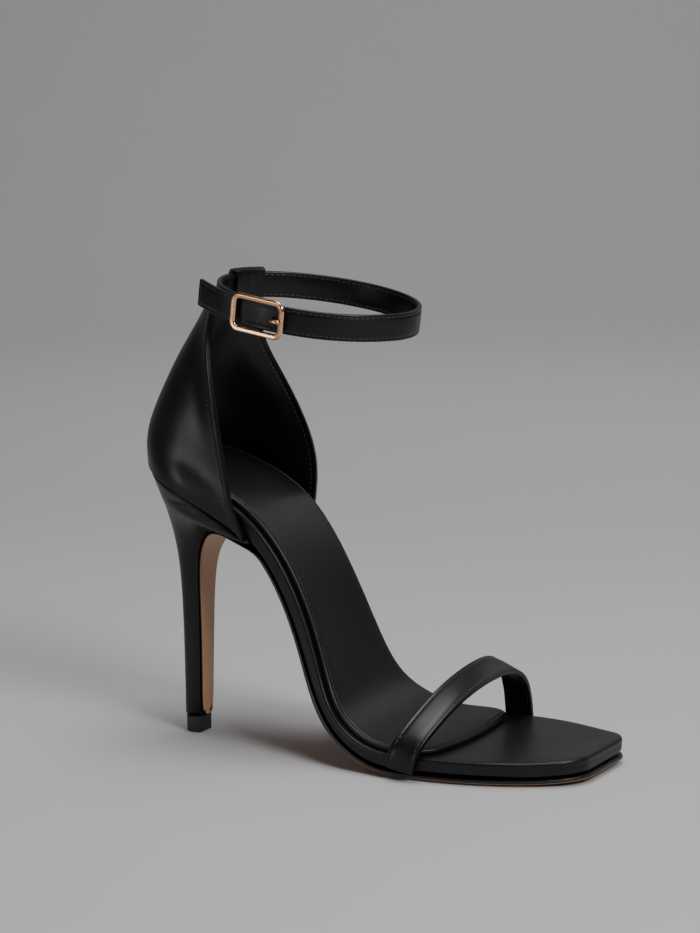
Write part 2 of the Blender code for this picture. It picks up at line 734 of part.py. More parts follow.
def counter_grid():
    """Inner face of the counter: a list of columns, each from the seat up to the ankle strap."""
    shares = [2 * i / COUNTER_COLUMNS - 1 for i in range(COUNTER_COLUMNS + 1)]
    shares[1] = COUNTER_BINDING - 1
    shares[-2] = 1 - COUNTER_BINDING
    grid = []
    for share in shares:
        places = counter_column(share, 0.0)
        knots = chord_knots(places)
        curve = natural_spline([knot / knots[-1] for knot in knots], places)
        grid.append([Vector(curve(level / COUNTER_LEVELS)) for level in range(COUNTER_LEVELS + 1)])
    return shares, grid


def grid_normals(grid):
    """Outward normals of a grid of columns."""
    normals = []
    for i, column in enumerate(grid):
        left = grid[max(i - 1, 0)]
        right = grid[min(i + 1, len(grid) - 1)]
        line = []
        for j in range(len(column)):
            up = column[min(j + 1, len(column) - 1)] - column[max(j - 1, 0)]
            line.append(up.cross(right[j] - left[j]).normalized())
        normals.append(line)
    return normals


def make_counter(material):
    """The heel counter: a hollow cup with folded front edges, and a tab that turns over the ankle strap."""
    shares, inner = counter_grid()
    normals = grid_normals(inner)
    columns = len(shares)
    outer = []
    for i, column in enumerate(inner):
        edge = i in (0, columns - 1)
        fold = i in (0, 1, columns - 2, columns - 1)
        wall = COUNTER_WALL + (FOLD_STEP if fold else 0.0)
        line = [place + normal * wall for place, normal in zip(column, normals[i])]
        line[0] = counter_column(shares[i], wall)[0]
        outer.append(line)
        if edge:
            neighbour = inner[1] if i == 0 else inner[-2]
            outer_line = []
            for j, place in enumerate(line):
                outer_line.append(place + (neighbour[j] - column[j]).normalized() * FOLD_LAP)
            outer[-1] = outer_line

    def make(bm):
        inside = [[bm.verts.new(place) for place in column] for column in inner]
        outside = [[bm.verts.new(place) for place in column] for column in outer]
        for i in range(columns - 1):
            for j in range(COUNTER_LEVELS):
                bm.faces.new((inside[i][j], inside[i + 1][j], inside[i + 1][j + 1], inside[i][j + 1]))
                bm.faces.new((outside[i][j], outside[i + 1][j], outside[i + 1][j + 1], outside[i][j + 1]))
        for i in (0, columns - 1):
            for j in range(COUNTER_LEVELS):
                bm.faces.new((inside[i][j], outside[i][j], outside[i][j + 1], inside[i][j + 1]))
        tab_columns = [i for i, share in enumerate(shares) if share > TAB_FROM]
        for i in range(columns - 1):
            bm.faces.new((inside[i][0], inside[i + 1][0], outside[i + 1][0], outside[i][0]))
            if i not in tab_columns[:-1]:
                top = COUNTER_LEVELS
                bm.faces.new((inside[i][top], inside[i + 1][top], outside[i + 1][top], outside[i][top]))
        rings = []
        for step in tab_steps():
            line = []
            for i in tab_columns:
                angle = -shares[i] * OVAL_EDGE_MED
                inner_out, outer_out, inner_lift, outer_lift = step
                line.append((
                    bm.verts.new(oval_place(angle, inner_out, inner_lift)),
                    bm.verts.new(oval_place(angle, outer_out, outer_lift)),
                ))
            rings.append(line)
        base = [(inside[i][COUNTER_LEVELS], outside[i][COUNTER_LEVELS]) for i in tab_columns]
        for low, high in zip([base] + rings, rings):
            for k in range(len(tab_columns) - 1):
                bm.faces.new((low[k][0], low[k + 1][0], high[k + 1][0], high[k][0]))
                bm.faces.new((low[k][1], low[k + 1][1], high[k + 1][1], high[k][1]))
            for k in (0, len(tab_columns) - 1):
                bm.faces.new((low[k][0], low[k][1], high[k][1], high[k][0]))
        last = rings[-1]
        for k in range(len(tab_columns) - 1):
            bm.faces.new((last[k][0], last[k + 1][0], last[k + 1][1], last[k][1]))

    return finish_mesh("counter", make, material)


def tab_steps():
    """Rows of the tab round the ankle strap: out and lift of its strap side, then of its outer side."""
    near = STRAP / 2 + GAP
    top = STRAP_WIDTH / 2 + GAP
    steps = [(near, near + COUNTER_WALL, 0.5 * top, 0.5 * top)]
    for angle in range(0, 181, 30):
        turn = math.radians(angle)
        radius = near + TAB_WALL
        steps_inner = (near * math.cos(turn), top + 0.25 * near * math.sin(turn))
        steps_outer = (radius * math.cos(turn), top + (0.25 * near + TAB_WALL) * math.sin(turn))
        steps.append((steps_inner[0], steps_outer[0], steps_inner[1], steps_outer[1]))
    for lift in (0.3, -0.4, -1.0):
        steps.append((-near, -near - TAB_WALL, lift * top, lift * top))
    steps.append((-0.2 * near, -0.2 * near - TAB_WALL, -1.25 * top, -1.35 * top))
    steps.append((near - GAP * 1.3, near - GAP * 1.3 - TAB_WALL, -1.62 * top, -1.72 * top))
    return steps


def ribbon(name, material, stations, width):
    """A strap with rounded edges. stations lists (centre, width direction, outward normal, thickness)."""

    def section(centre, across, normal, thick):
        soft = min(0.32 * thick, STRAP_EDGE)
        half = width / 2
        outline = [
            (-half + soft, -thick / 2),
            (half - soft, -thick / 2),
            (half, -thick / 2 + soft),
            (half, thick / 2 - soft),
            (half - soft, thick / 2),
            (0.0, thick / 2),
            (-half + soft, thick / 2),
            (-half, thick / 2 - soft),
            (-half, -thick / 2 + soft),
        ]
        return [centre + across * a + normal * b for a, b in outline]

    def make(bm):
        rings = []
        for centre, across, normal, thick in stations:
            rings.append([bm.verts.new(place) for place in section(centre, across, normal, thick)])
        for first, second in zip(rings, rings[1:]):
            bridge(bm, first, second)
        bm.faces.new(rings[0])
        bm.faces.new(rings[-1][::-1])

    return finish_mesh(name, make, material)


def make_toe_strap(material):
    """The strap over the toes, from one side of the platform to the other, leaning forward over the foot."""
    places = []
    for row in TOE_ROWS:
        places.append((
            TOE_STRAP_AT + row.along * TOE_STRAP_WIDTH,
            row.across * HALF_BALL,
            FOREFOOT_TOP + row.rise * TOE_STRAP_RISE,
            row.lean,
        ))
    knots = chord_knots([place[:3] for place in places])
    curve = natural_spline(knots, places)
    stations = []
    steps = 40
    for i in range(steps + 1):
        knot = knots[-1] * i / steps
        x, y, z, lean = curve(knot)
        low = curve(max(knot - 0.0005, 0.0))
        high = curve(min(knot + 0.0005, knots[-1]))
        along = Vector(high[:3] - low[:3]).normalized()
        lean = math.radians(lean)
        across = Vector((math.cos(lean), 0.0, -math.sin(lean)))
        normal = across.cross(along).normalized()
        across = along.cross(normal).normalized()
        stations.append((Vector((x, y, z)), across, normal, TOE_STRAP))
    return ribbon("toe_strap", material, stations, TOE_STRAP_WIDTH)


def buckle_frame_matrix():
    """Frame of the buckle: X along the strap towards the toe, Y out of the shoe, Z along the strap's width."""
    origin = oval(BUCKLE_ANGLE, 0.0)
    ahead = oval(BUCKLE_ANGLE + 0.01, 0.0) - oval(BUCKLE_ANGLE - 0.01, 0.0)
    ahead.normalize()
    outward = Vector((ahead.y, -ahead.x))
    local = Matrix((
        (ahead.x, outward.x, 0.0, origin.x),
        (ahead.y, outward.y, 0.0, origin.y),
        (0.0, 0.0, 1.0, 0.0),
        (0.0, 0.0, 0.0, 1.0),
    ))
    return local


BUCKLE_LOCAL = buckle_frame_matrix()
SKIVED = STRAP / 2
BAR_OUT = STRAP / 2 - SKIVED - GAP / 2 - BAR_RADIUS
SECOND_TURN = STRAP + GAP
FRAME_OUT = SECOND_TURN + STRAP / 2 + GAP + RAIL_RADIUS
PRONG_HOOK = BAR_RADIUS + GAP / 2 + PRONG_RADIUS


def ankle_path():
    """Middle line of the ankle strap with its lift over the loop's plane and its thickness, from its sewn end."""
    path = []
    wrap = BAR_RADIUS + GAP / 2 + SKIVED / 2
    turned_in = -STRAP / 2 - GAP - SKIVED / 2
    for degrees in (64.0, 68.0, 72.0, 76.0):
        path.append((oval(math.radians(degrees), turned_in), 0.0, SKIVED))
    path.append((oval(math.radians(79.0), BAR_OUT - wrap + GAP / 3), 0.0, SKIVED))
    for degrees in range(-90, 91, 30):
        turn = math.radians(degrees)
        place = BUCKLE_LOCAL @ Vector((wrap * math.cos(turn), BAR_OUT + wrap * math.sin(turn), 0.0))
        path.append((place.to_2d(), 0.0, SKIVED))
    path.append((oval(math.radians(78.5), (STRAP - SKIVED) / 2), 0.0, SKIVED))
    path.append((oval(math.radians(74.0), 0.0), 0.0, STRAP))
    for degrees in range(68, -111, -6):
        path.append((oval(math.radians(degrees), 0.0), 0.0, STRAP))
    for degrees in range(-116, -283, -6):
        out = SECOND_TURN * smoothstep(-degrees, 205, 254)
        path.append((oval(math.radians(degrees), out), 0.0, STRAP))
    outside = STRAP / 2 + GAP + COUNTER_WALL + FOLD_STEP + GAP + STRAP / 2
    for row in TIP_ROWS:
        path.append((oval(math.radians(row.angle), row.out * outside), row.lift * STRAP_WIDTH, STRAP))
    return path


def make_ankle_strap(material, cutter_collection):
    """The ankle strap: it turns round the buckle's bar, goes round the ankle and out over its own start."""
    path = ankle_path()
    places = [place for place, _, _ in path]
    stations = []
    for i, (place, lift, thick) in enumerate(path):
        along = (places[min(i + 1, len(places) - 1)] - places[max(i - 1, 0)]).normalized()
        centre = LOOP_FRAME @ Vector((place.x, place.y, lift))
        across = LOOP_FRAME.to_3x3() @ Vector((0.0, 0.0, 1.0))
        normal = LOOP_FRAME.to_3x3() @ Vector((along.y, -along.x, 0.0))
        stations.append((centre, across, normal, thick))
    strap = ribbon("ankle_strap", material, stations, STRAP_WIDTH)
    buckle = LOOP_FRAME @ BUCKLE_LOCAL
    for number in HOLE_NUMBERS:
        shift = PRONG_HOLE - number * HOLE_PITCH
        bm = bmesh.new()
        place = buckle @ Matrix.Translation((shift, SECOND_TURN - GAP, 0.0)) @ Matrix.Rotation(math.pi / 2, 4, "X")
        bmesh.ops.create_cone(
            bm, cap_ends=True, segments=10, radius1=HOLE / 2, radius2=HOLE / 2, depth=1.9 * STRAP, matrix=place
        )
        cut(strap, bm, f"hole_{number % len(HOLE_NUMBERS)}", cutter_collection)
    reach = PRONG_HOOK + PRONG_RADIUS + GAP
    low = BAR_OUT - reach
    high = STRAP / 2 + GAP / 2
    bm = bmesh.new()
    slot = Matrix.Diagonal((2 * reach, high - low, 2 * PRONG_RADIUS + 2 * GAP, 1.0))
    place = Matrix.Translation((0.0, (high + low) / 2, 0.0))
    bmesh.ops.create_cube(bm, size=1.0, matrix=buckle @ place @ slot)
    cut(strap, bm, "prong_slot", cutter_collection)
    return strap


def cut(piece, bm, name, cutter_collection):
    """Cuts the closed shape out of a piece."""
    bmesh.ops.recalc_face_normals(bm, faces=bm.faces)
    mesh = bpy.data.meshes.new(name)
    bm.to_mesh(mesh)
    bm.free()
    cutter = bpy.data.objects.new(name, mesh)
    cutter.hide_render = True
    cutter.display_type = "WIRE"
    cutter_collection.objects.link(cutter)
    modifier = piece.modifiers.new(name, "BOOLEAN")
    modifier.operation = "DIFFERENCE"
    modifier.solver = "EXACT"
    modifier.object = cutter
    return cutter


def wire(points, radius, closed, frame):
    """A mesh of round wire along a polyline, with closed ends."""
    curve = bpy.data.curves.new("wire", "CURVE")
    curve.dimensions = "3D"
    curve.bevel_depth = radius
    curve.bevel_resolution = 2
    curve.use_fill_caps = not closed
    spline = curve.splines.new("POLY")
    spline.points.add(len(points) - 1)
    for point, place in zip(spline.points, points):
        point.co = (*(frame @ Vector(place)), 1.0)
    spline.use_cyclic_u = closed
    obj = bpy.data.objects.new("wire", curve)
    bpy.context.scene.collection.objects.link(obj)
    bpy.context.view_layer.update()
    mesh = bpy.data.meshes.new_from_object(obj.evaluated_get(bpy.context.evaluated_depsgraph_get()))
    bpy.data.objects.remove(obj)
    bpy.data.curves.remove(curve)
    bm = bmesh.new()
    bm.from_mesh(mesh)
    bmesh.ops.remove_doubles(bm, verts=bm.verts, dist=0.00001)
    bmesh.ops.recalc_face_normals(bm, faces=bm.faces)
    bm.to_mesh(mesh)
    bm.free()
    mesh.shade_smooth()
    mesh.set_sharp_from_angle(angle=math.radians(50))
    return mesh


def make_buckle_frame(material, cutter_collection):
    """The buckle's rounded frame with its sunk centre bar, as one casting."""
    buckle = LOOP_FRAME @ BUCKLE_LOCAL
    half_length = BUCKLE_LENGTH / 2 - RAIL_RADIUS
    half_height = BUCKLE_HEIGHT / 2 - RAIL_RADIUS
    corner = BUCKLE_CORNER - RAIL_RADIUS
    loop = []
    for quarter, (sx, sz) in enumerate(((1, 1), (-1, 1), (-1, -1), (1, -1))):
        for step in range(5):
            turn = math.radians(90 * quarter + 22.5 * step)
            loop.append((
                sx * (half_length - corner) + corner * math.cos(turn),
                FRAME_OUT,
                sz * (half_height - corner) + corner * math.sin(turn),
            ))
    frame = add_object("buckle_frame", wire(loop, RAIL_RADIUS, True, buckle), material)
    bar = [
        (0.0, FRAME_OUT, half_height),
        (0.0, BAR_OUT + 1.15 * BAR_RADIUS, half_height),
        (0.0, BAR_OUT, half_height - 0.85 * BAR_RADIUS),
        (0.0, BAR_OUT, -half_height + 0.85 * BAR_RADIUS),
        (0.0, BAR_OUT + 1.15 * BAR_RADIUS, -half_height),
        (0.0, FRAME_OUT, -half_height),
    ]
    mesh = wire(bar, BAR_RADIUS, False, buckle)
    tool = bpy.data.objects.new("buckle_bar", mesh)
    tool.hide_render = True
    tool.display_type = "WIRE"
    cutter_collection.objects.link(tool)
    modifier = frame.modifiers.new("bar", "BOOLEAN")
    modifier.operation = "UNION"
    modifier.solver = "EXACT"
    modifier.object = tool
    return frame


def make_buckle_prong(material):
    """The prong: hooked round the bar, up through the strap's hole and on to the front rail."""
    buckle = LOOP_FRAME @ BUCKLE_LOCAL
    rail = BUCKLE_LENGTH / 2 - RAIL_RADIUS
    rest = FRAME_OUT + RAIL_RADIUS + GAP + PRONG_RADIUS
    points = []
    for degrees in (150, 178, 206, 234, 260, 286, 315):
        turn = math.radians(degrees)
        points.append((PRONG_HOOK * math.cos(turn), BAR_OUT + PRONG_HOOK * math.sin(turn), 0.0))
    points += [
        (0.45 * PRONG_HOLE, BAR_OUT - 0.42 * PRONG_HOOK, 0.0),
        (0.90 * PRONG_HOLE, BAR_OUT - 0.02 * PRONG_HOOK, 0.0),
        (PRONG_HOLE, SECOND_TURN - 0.75 * STRAP, 0.0),
        (PRONG_HOLE, SECOND_TURN + 0.40 * STRAP, 0.0),
        (PRONG_HOLE + 1.5 * PRONG_RADIUS, rest - 0.5 * PRONG_RADIUS, 0.0),
        (rail - 0.75 * PRONG_RADIUS, rest, 0.0),
        (rail + 1.1 * PRONG_RADIUS, rest - 0.25 * PRONG_RADIUS, 0.0),
    ]
    return add_object("buckle_prong", wire(points, PRONG_RADIUS, False, buckle), material)


def principled(name, colour, roughness, metallic=0.0):
    """A plain Principled material."""
    material = bpy.data.materials.new(name)
    material.use_nodes = True
    shader = material.node_tree.nodes["Principled BSDF"]
    shader.inputs["Base Color"].default_value = (*colour, 1.0)
    shader.inputs["Roughness"].default_value = roughness
    shader.inputs["Metallic"].default_value = metallic
    material.diffuse_color = (*colour, 1.0)
    return material


def stand_on_origin(pieces):
    """Parents the pieces to an empty that puts the middle of their footprint at the origin."""
    bpy.context.view_layer.update()
    graph = bpy.context.evaluated_depsgraph_get()
    places = []
    for piece in pieces:
        mesh = piece.evaluated_get(graph).to_mesh()
        places += [vertex.co.copy() for vertex in mesh.vertices]
        piece.evaluated_get(graph).to_mesh_clear()
    low = [min(place[axis] for place in places) for axis in range(3)]
    high = [max(place[axis] for place in places) for axis in range(3)]
    base = bpy.data.objects.new("sandal", None)
    base.location = (-(low[0] + high[0]) / 2, -(low[1] + high[1]) / 2, -low[2])
    bpy.data.collections[COLLECTION].objects.link(base)
    for piece in pieces:
        piece.parent = base
    return base


def main():
    """Builds every piece of the sandal."""
    for obj in list(bpy.data.objects):
        bpy.data.objects.remove(obj)
    pieces = bpy.data.collections.new(COLLECTION)
    bpy.context.scene.collection.children.link(pieces)
    cutters = bpy.data.collections.new("Cutters")
    bpy.context.scene.collection.children.link(cutters)
    leather = {}
    for name, roughness in (
        ("counter", 0.36), ("toe_strap", 0.36), ("ankle_strap", 0.38), ("platform", 0.38), ("sock", 0.45),
        ("heel", 0.34),
    ):
        leather[name] = principled(f"{name}_leather", (0.012, 0.012, 0.013), roughness)
    tan = principled("outsole_tan", (0.52, 0.33, 0.20), 0.55)
    rubber = principled("top_piece_rubber", (0.015, 0.015, 0.015), 0.6)
    frame_gold = principled("buckle_frame_gold", (0.86, 0.60, 0.44), 0.22, 1.0)
    prong_gold = principled("buckle_prong_gold", (0.86, 0.60, 0.44), 0.22, 1.0)
    built = [
        make_outsole(tan),
        make_platform(leather["platform"]),
        make_sock(leather["sock"]),
        make_heel(leather["heel"]),
        make_top_piece(rubber),
        make_counter(leather["counter"]),
        make_toe_strap(leather["toe_strap"]),
        make_ankle_strap(leather["ankle_strap"], cutters),
        make_buckle_frame(frame_gold, cutters),
        make_buckle_prong(prong_gold),
    ]
    base = stand_on_origin(built)
    for cutter in cutters.objects:
        cutter.parent = base


main()
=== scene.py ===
"""Looks of a right strappy sandal in black leather: surfaces, seams, stitches, buckle, studio and camera.

The toe points along +X, the inner (medial) side along +Y and the floor is z = 0. Lengths are metres.
"""

import logging
import math
from collections.abc import Callable, Iterable, Sequence
from dataclasses import dataclass
from enum import Enum

import bmesh
import bpy
import numpy as np
from bmesh.types import BMesh, BMFace
from bpy.types import ID, Material, Mesh, NodeSocket, NodeTree, Object
from mathutils import Matrix, Vector
from mathutils.bvhtree import BVHTree
from mathutils.kdtree import KDTree


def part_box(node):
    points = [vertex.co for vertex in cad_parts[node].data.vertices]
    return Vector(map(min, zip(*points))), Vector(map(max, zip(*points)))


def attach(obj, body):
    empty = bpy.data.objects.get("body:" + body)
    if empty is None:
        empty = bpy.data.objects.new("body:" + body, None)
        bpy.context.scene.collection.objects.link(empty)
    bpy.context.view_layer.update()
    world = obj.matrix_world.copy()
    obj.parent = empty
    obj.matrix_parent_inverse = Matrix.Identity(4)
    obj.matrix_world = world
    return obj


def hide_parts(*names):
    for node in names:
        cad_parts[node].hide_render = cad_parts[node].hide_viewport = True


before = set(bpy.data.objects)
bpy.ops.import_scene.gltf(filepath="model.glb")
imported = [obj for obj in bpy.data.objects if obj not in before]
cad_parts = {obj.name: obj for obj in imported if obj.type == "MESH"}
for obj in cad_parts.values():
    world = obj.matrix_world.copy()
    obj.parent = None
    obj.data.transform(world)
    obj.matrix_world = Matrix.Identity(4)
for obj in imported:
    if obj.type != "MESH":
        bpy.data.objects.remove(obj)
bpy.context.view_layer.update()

BODY = "root"
MM = 0.001
WELD = 0.001 * MM
X_AXIS = Vector((1.0, 0.0, 0.0))
Z_AXIS = Vector((0.0, 0.0, 1.0))
MIX_SHARE, MIX_FIRST, MIX_SECOND, MIX_COLOUR = 0, 6, 7, 2

Colour = tuple[float, float, float]
Curve = Callable[[float], np.ndarray]
Laid = list[tuple[Vector, Vector]]

log = logging.getLogger("sandal")


class Side(Enum):
    """Outer and inner side of a right shoe."""

    LATERAL = -1
    MEDIAL = 1


class Joining(Enum):
    """How a math node joins its inputs."""

    ADD = "ADD"
    SUBTRACT = "SUBTRACT"
    MULTIPLY = "MULTIPLY"
    DIVIDE = "DIVIDE"
    MINIMUM = "MINIMUM"
    ABSOLUTE = "ABSOLUTE"


class Wire:
    """A node's output that takes part in Python expressions."""

    def __init__(self, tree: NodeTree, socket: NodeSocket) -> None:
        """Keeps the tree and the socket that the expressions start from."""
        self.tree = tree
        self.socket = socket

    def join(self, how: Joining, *values: "Wire | float") -> "Wire":
        """Adds a Math node.

        Args:
            how: what the node does.
            values: its inputs, in order.

        Returns:
            The node's output.
        """
        node = self.tree.nodes.new("ShaderNodeMath")
        node.operation = how.value
        for place, value in zip(node.inputs, values):
            plug(self.tree, place, value)
        return Wire(self.tree, node.outputs[0])

    def __add__(self, other: "Wire | float") -> "Wire":
        """Sum."""
        return self.join(Joining.ADD, self, other)

    def __radd__(self, other: float) -> "Wire":
        """Sum with a number in front."""
        return self.join(Joining.ADD, other, self)

    def __sub__(self, other: "Wire | float") -> "Wire":
        """Difference."""
        return self.join(Joining.SUBTRACT, self, other)

    def __rsub__(self, other: float) -> "Wire":
        """Difference from a number."""
        return self.join(Joining.SUBTRACT, other, self)

    def __mul__(self, other: "Wire | float") -> "Wire":
        """Product."""
        return self.join(Joining.MULTIPLY, self, other)

    def __rmul__(self, other: float) -> "Wire":
        """Product with a number in front."""
        return self.join(Joining.MULTIPLY, other, self)

    def __truediv__(self, other: "Wire | float") -> "Wire":
        """Quotient."""
        return self.join(Joining.DIVIDE, self, other)

    def below(self, high: float) -> "Wire":
        """No more than high."""
        return self.join(Joining.MINIMUM, self, high)

    def size(self) -> "Wire":
        """Absolute value."""
        return self.join(Joining.ABSOLUTE, self)


def plug(tree: NodeTree, place: NodeSocket, value: object) -> None:
    """Links a wire to an input, or sets the input to a value."""
    if isinstance(value, Wire):
        tree.links.new(value.socket, place)
    else:
        place.default_value = value


class Paint:
    """A Principled material whose varying sockets are fed by expressions."""

    def __init__(self, name: str, colour: Colour, roughness: float, metallic: float = 0.0) -> None:
        """Starts a material.

        Args:
            name: the material's name.
            colour: base colour, linear.
            roughness: base roughness.
            metallic: 1 for bare metal.
        """
        self.material = bpy.data.materials.new(name)
        self.material.use_nodes = True
        self.tree = self.material.node_tree
        self.shader = self.tree.nodes["Principled BSDF"]
        self.colour = colour
        self.fix("Base Color", (*colour, 1.0))
        self.fix("Roughness", roughness)
        self.fix("Metallic", metallic)
        self.material.diffuse_color = (*colour, 1.0)

    def fix(self, socket: str, value: float | Sequence[float]) -> None:
        """Sets a value that is the same all over."""
        self.shader.inputs[socket].default_value = value

    def feed(self, socket: str, wire: Wire) -> None:
        """Links a value that varies."""
        self.tree.links.new(wire.socket, self.shader.inputs[socket])

    def node(self, kind: str, settings: dict | None = None, output: str | int = 0, **inputs: object) -> Wire:
        """Adds any node.

        Args:
            kind: the node's type.
            settings: properties, set before the inputs.
            output: name or number of the output that is wanted.
            inputs: values or wires of its sockets.

        Returns:
            The wanted output.
        """
        node = self.tree.nodes.new(kind)
        for key, value in (settings or {}).items():
            setattr(node, key, value)
        for key, value in inputs.items():
            plug(self.tree, node.inputs[key], value)
        return Wire(self.tree, node.outputs[output])

    def place(self) -> Wire:
        """Object coordinates."""
        return self.node("ShaderNodeTexCoord", output="Object")

    def noise(self, scale: float, detail: float = 2.0, roughness: float = 0.5) -> Wire:
        """Noise from 0 to 1 with features of about 1 / scale metres."""
        return self.node(
            "ShaderNodeTexNoise", Vector=self.place(), Scale=scale, Detail=detail, Roughness=roughness
        )

    def cells(self, scale: float) -> Wire:
        """Distance from the middle of rounded cells."""
        settings = {"feature": "SMOOTH_F1"}
        return self.node("ShaderNodeTexVoronoi", settings, "Distance", Vector=self.place(), Scale=scale)

    def mark(self, name: str) -> Wire:
        """A number stored on the mesh."""
        return self.node("ShaderNodeAttribute", {"attribute_name": name}, output="Fac")

    def blend(self, share: Wire, first: Wire | Colour, second: Wire | Colour) -> Wire:
        """Colour between two colours."""
        node = self.tree.nodes.new("ShaderNodeMix")
        node.data_type = "RGBA"
        plug(self.tree, node.inputs[MIX_SHARE], share)
        for number, colour in ((MIX_FIRST, first), (MIX_SECOND, second)):
            plug(self.tree, node.inputs[number], colour if isinstance(colour, Wire) else (*colour, 1.0))
        return Wire(self.tree, node.outputs[MIX_COLOUR])

    def shade(self, share: Wire, low: float, high: float) -> Wire:
        """Colour between low and high times the base colour."""
        first, second = [tuple(times * channel for channel in self.colour) for times in (low, high)]
        return self.blend(share, first, second)

    def relief(self, height: Wire, depth: float) -> None:
        """Feeds a height from 0 to 1 into the normal, as depth metres of relief."""
        self.feed("Normal", self.node("ShaderNodeBump", Height=height, Distance=depth, Strength=1.0))


@dataclass(frozen=True)
class Leather:
    """Smooth dyed leather with a fine grain and a waxed finish.

    groove_at and groove are in metres: a seam pressed that far inside the piece's edge, and its width.
    """

    name: str
    colour: Colour = (0.0026, 0.0026, 0.0028)
    roughness: float = 0.36
    specular: float = 0.30
    spread: float = 0.10
    grain: float = 0.00004
    coat: float = 0.10
    coat_roughness: float = 0.22
    groove_at: float = 0.0
    groove: float = 0.0005
    groove_depth: float = 0.00030

    def build(self) -> Material:
        """Makes the material."""
        paint = Paint(self.name, self.colour, self.roughness)
        paint.fix("Specular IOR Level", self.specular)
        paint.fix("Coat Weight", self.coat)
        paint.fix("Coat Roughness", self.coat_roughness)
        cloud = paint.noise(70.0, 3.0)
        paint.feed("Base Color", paint.shade(cloud, 1.0, 1.5))
        paint.feed("Roughness", self.roughness + (cloud - 0.5) * self.spread + paint.noise(900.0) * 0.04)
        pores = paint.cells(2300.0) * 0.55 + paint.noise(4200.0, 2.0) * 0.25
        height = pores + paint.noise(240.0, 2.0) * 1.6
        if self.groove_at > 0.0:
            off = (paint.mark("edge") - self.groove_at).size() / self.groove
            height = height - (1.0 - off.below(1.0)) * (self.groove_depth / self.grain)
        paint.relief(height, self.grain)
        return paint.material


@dataclass(frozen=True)
class SoleLeather:
    """Tan sole leather with fibres along the shoe and black painted edges."""

    name: str
    colour: Colour = (0.46, 0.255, 0.130)
    edge: Colour = (0.006, 0.006, 0.0065)
    roughness: float = 0.46

    def build(self) -> Material:
        """Makes the material."""
        paint = Paint(self.name, self.colour, self.roughness)
        stretch = paint.node("ShaderNodeMapping", Vector=paint.place(), Scale=(1.0, 7.0, 1.0))
        fibres = paint.node("ShaderNodeTexNoise", Vector=stretch, Scale=180.0, Detail=4.0)
        leather = paint.shade(fibres * 0.6 + paint.noise(45.0, 3.0) * 0.4, 0.78, 1.14)
        black = paint.mark("paint")
        paint.feed("Base Color", paint.blend(black, leather, self.edge))
        paint.feed("Roughness", self.roughness + (fibres - 0.5) * 0.12 - black * 0.10)
        paint.relief(fibres * 0.6 + paint.noise(1500.0) * 0.4, 0.00006)
        return paint.material


@dataclass(frozen=True)
class Rubber:
    """Moulded rubber with a dull, slightly pitted face."""

    name: str
    colour: Colour = (0.008, 0.008, 0.0085)
    roughness: float = 0.55

    def build(self) -> Material:
        """Makes the material."""
        paint = Paint(self.name, self.colour, self.roughness)
        dust = paint.noise(400.0, 4.0)
        paint.feed("Base Color", paint.shade(dust, 1.0, 1.9))
        paint.feed("Roughness", self.roughness + (dust - 0.5) * 0.18)
        paint.relief(paint.noise(2600.0, 3.0), 0.00007)
        return paint.material


@dataclass(frozen=True)
class Plating:
    """Polished rose gold plating with faint hairlines."""

    name: str
    colour: Colour = (0.84, 0.50, 0.29)
    roughness: float = 0.17

    def build(self) -> Material:
        """Makes the material."""
        paint = Paint(self.name, self.colour, self.roughness, 1.0)
        cloud = paint.noise(300.0, 3.0)
        paint.feed("Base Color", paint.shade(cloud, 0.86, 1.0))
        paint.feed("Roughness", self.roughness + (cloud - 0.5) * 0.12)
        paint.relief(paint.noise(1800.0, 3.0), 0.000012)
        return paint.material


@dataclass(frozen=True)
class Thread:
    """Waxed black thread, twisted."""

    name: str
    colour: Colour = (0.024, 0.024, 0.0245)
    roughness: float = 0.30

    def build(self) -> Material:
        """Makes the material."""
        paint = Paint(self.name, self.colour, self.roughness)
        fuzz = paint.noise(3500.0, 2.0)
        paint.feed("Base Color", paint.shade(fuzz, 1.0, 2.2))
        paint.feed("Roughness", self.roughness + (fuzz - 0.5) * 0.2)
        paint.relief(fuzz, 0.00005)
        return paint.material


@dataclass(frozen=True)
class Backdrop:
    """Matt studio paper."""

    name: str
    colour: Colour = (0.46, 0.455, 0.465)
    roughness: float = 0.85

    def build(self) -> Material:
        """Makes the material."""
        paint = Paint(self.name, self.colour, self.roughness)
        paint.fix("Specular IOR Level", 0.2)
        paint.feed("Base Color", paint.shade(paint.noise(3.0, 2.0), 0.97, 1.0))
        return paint.material


def smoothstep(value: float, low: float, high: float) -> float:
    """0 below low, 1 above high, with a soft passage between."""
    share = min(max((value - low) / (high - low), 0.0), 1.0)
    return share * share * (3 - 2 * share)


def hump(value: float, centre: float, width: float) -> float:
    """Bell of height 1 round a centre."""
    return math.exp(-(((value - centre) / width) ** 2))


def chord_knots(points: Sequence[Sequence[float]]) -> list[float]:
    """Running length of the polyline through the points."""
    knots = [0.0]
    for first, second in zip(points, points[1:]):
        knots.append(knots[-1] + math.dist(first, second))
    return knots


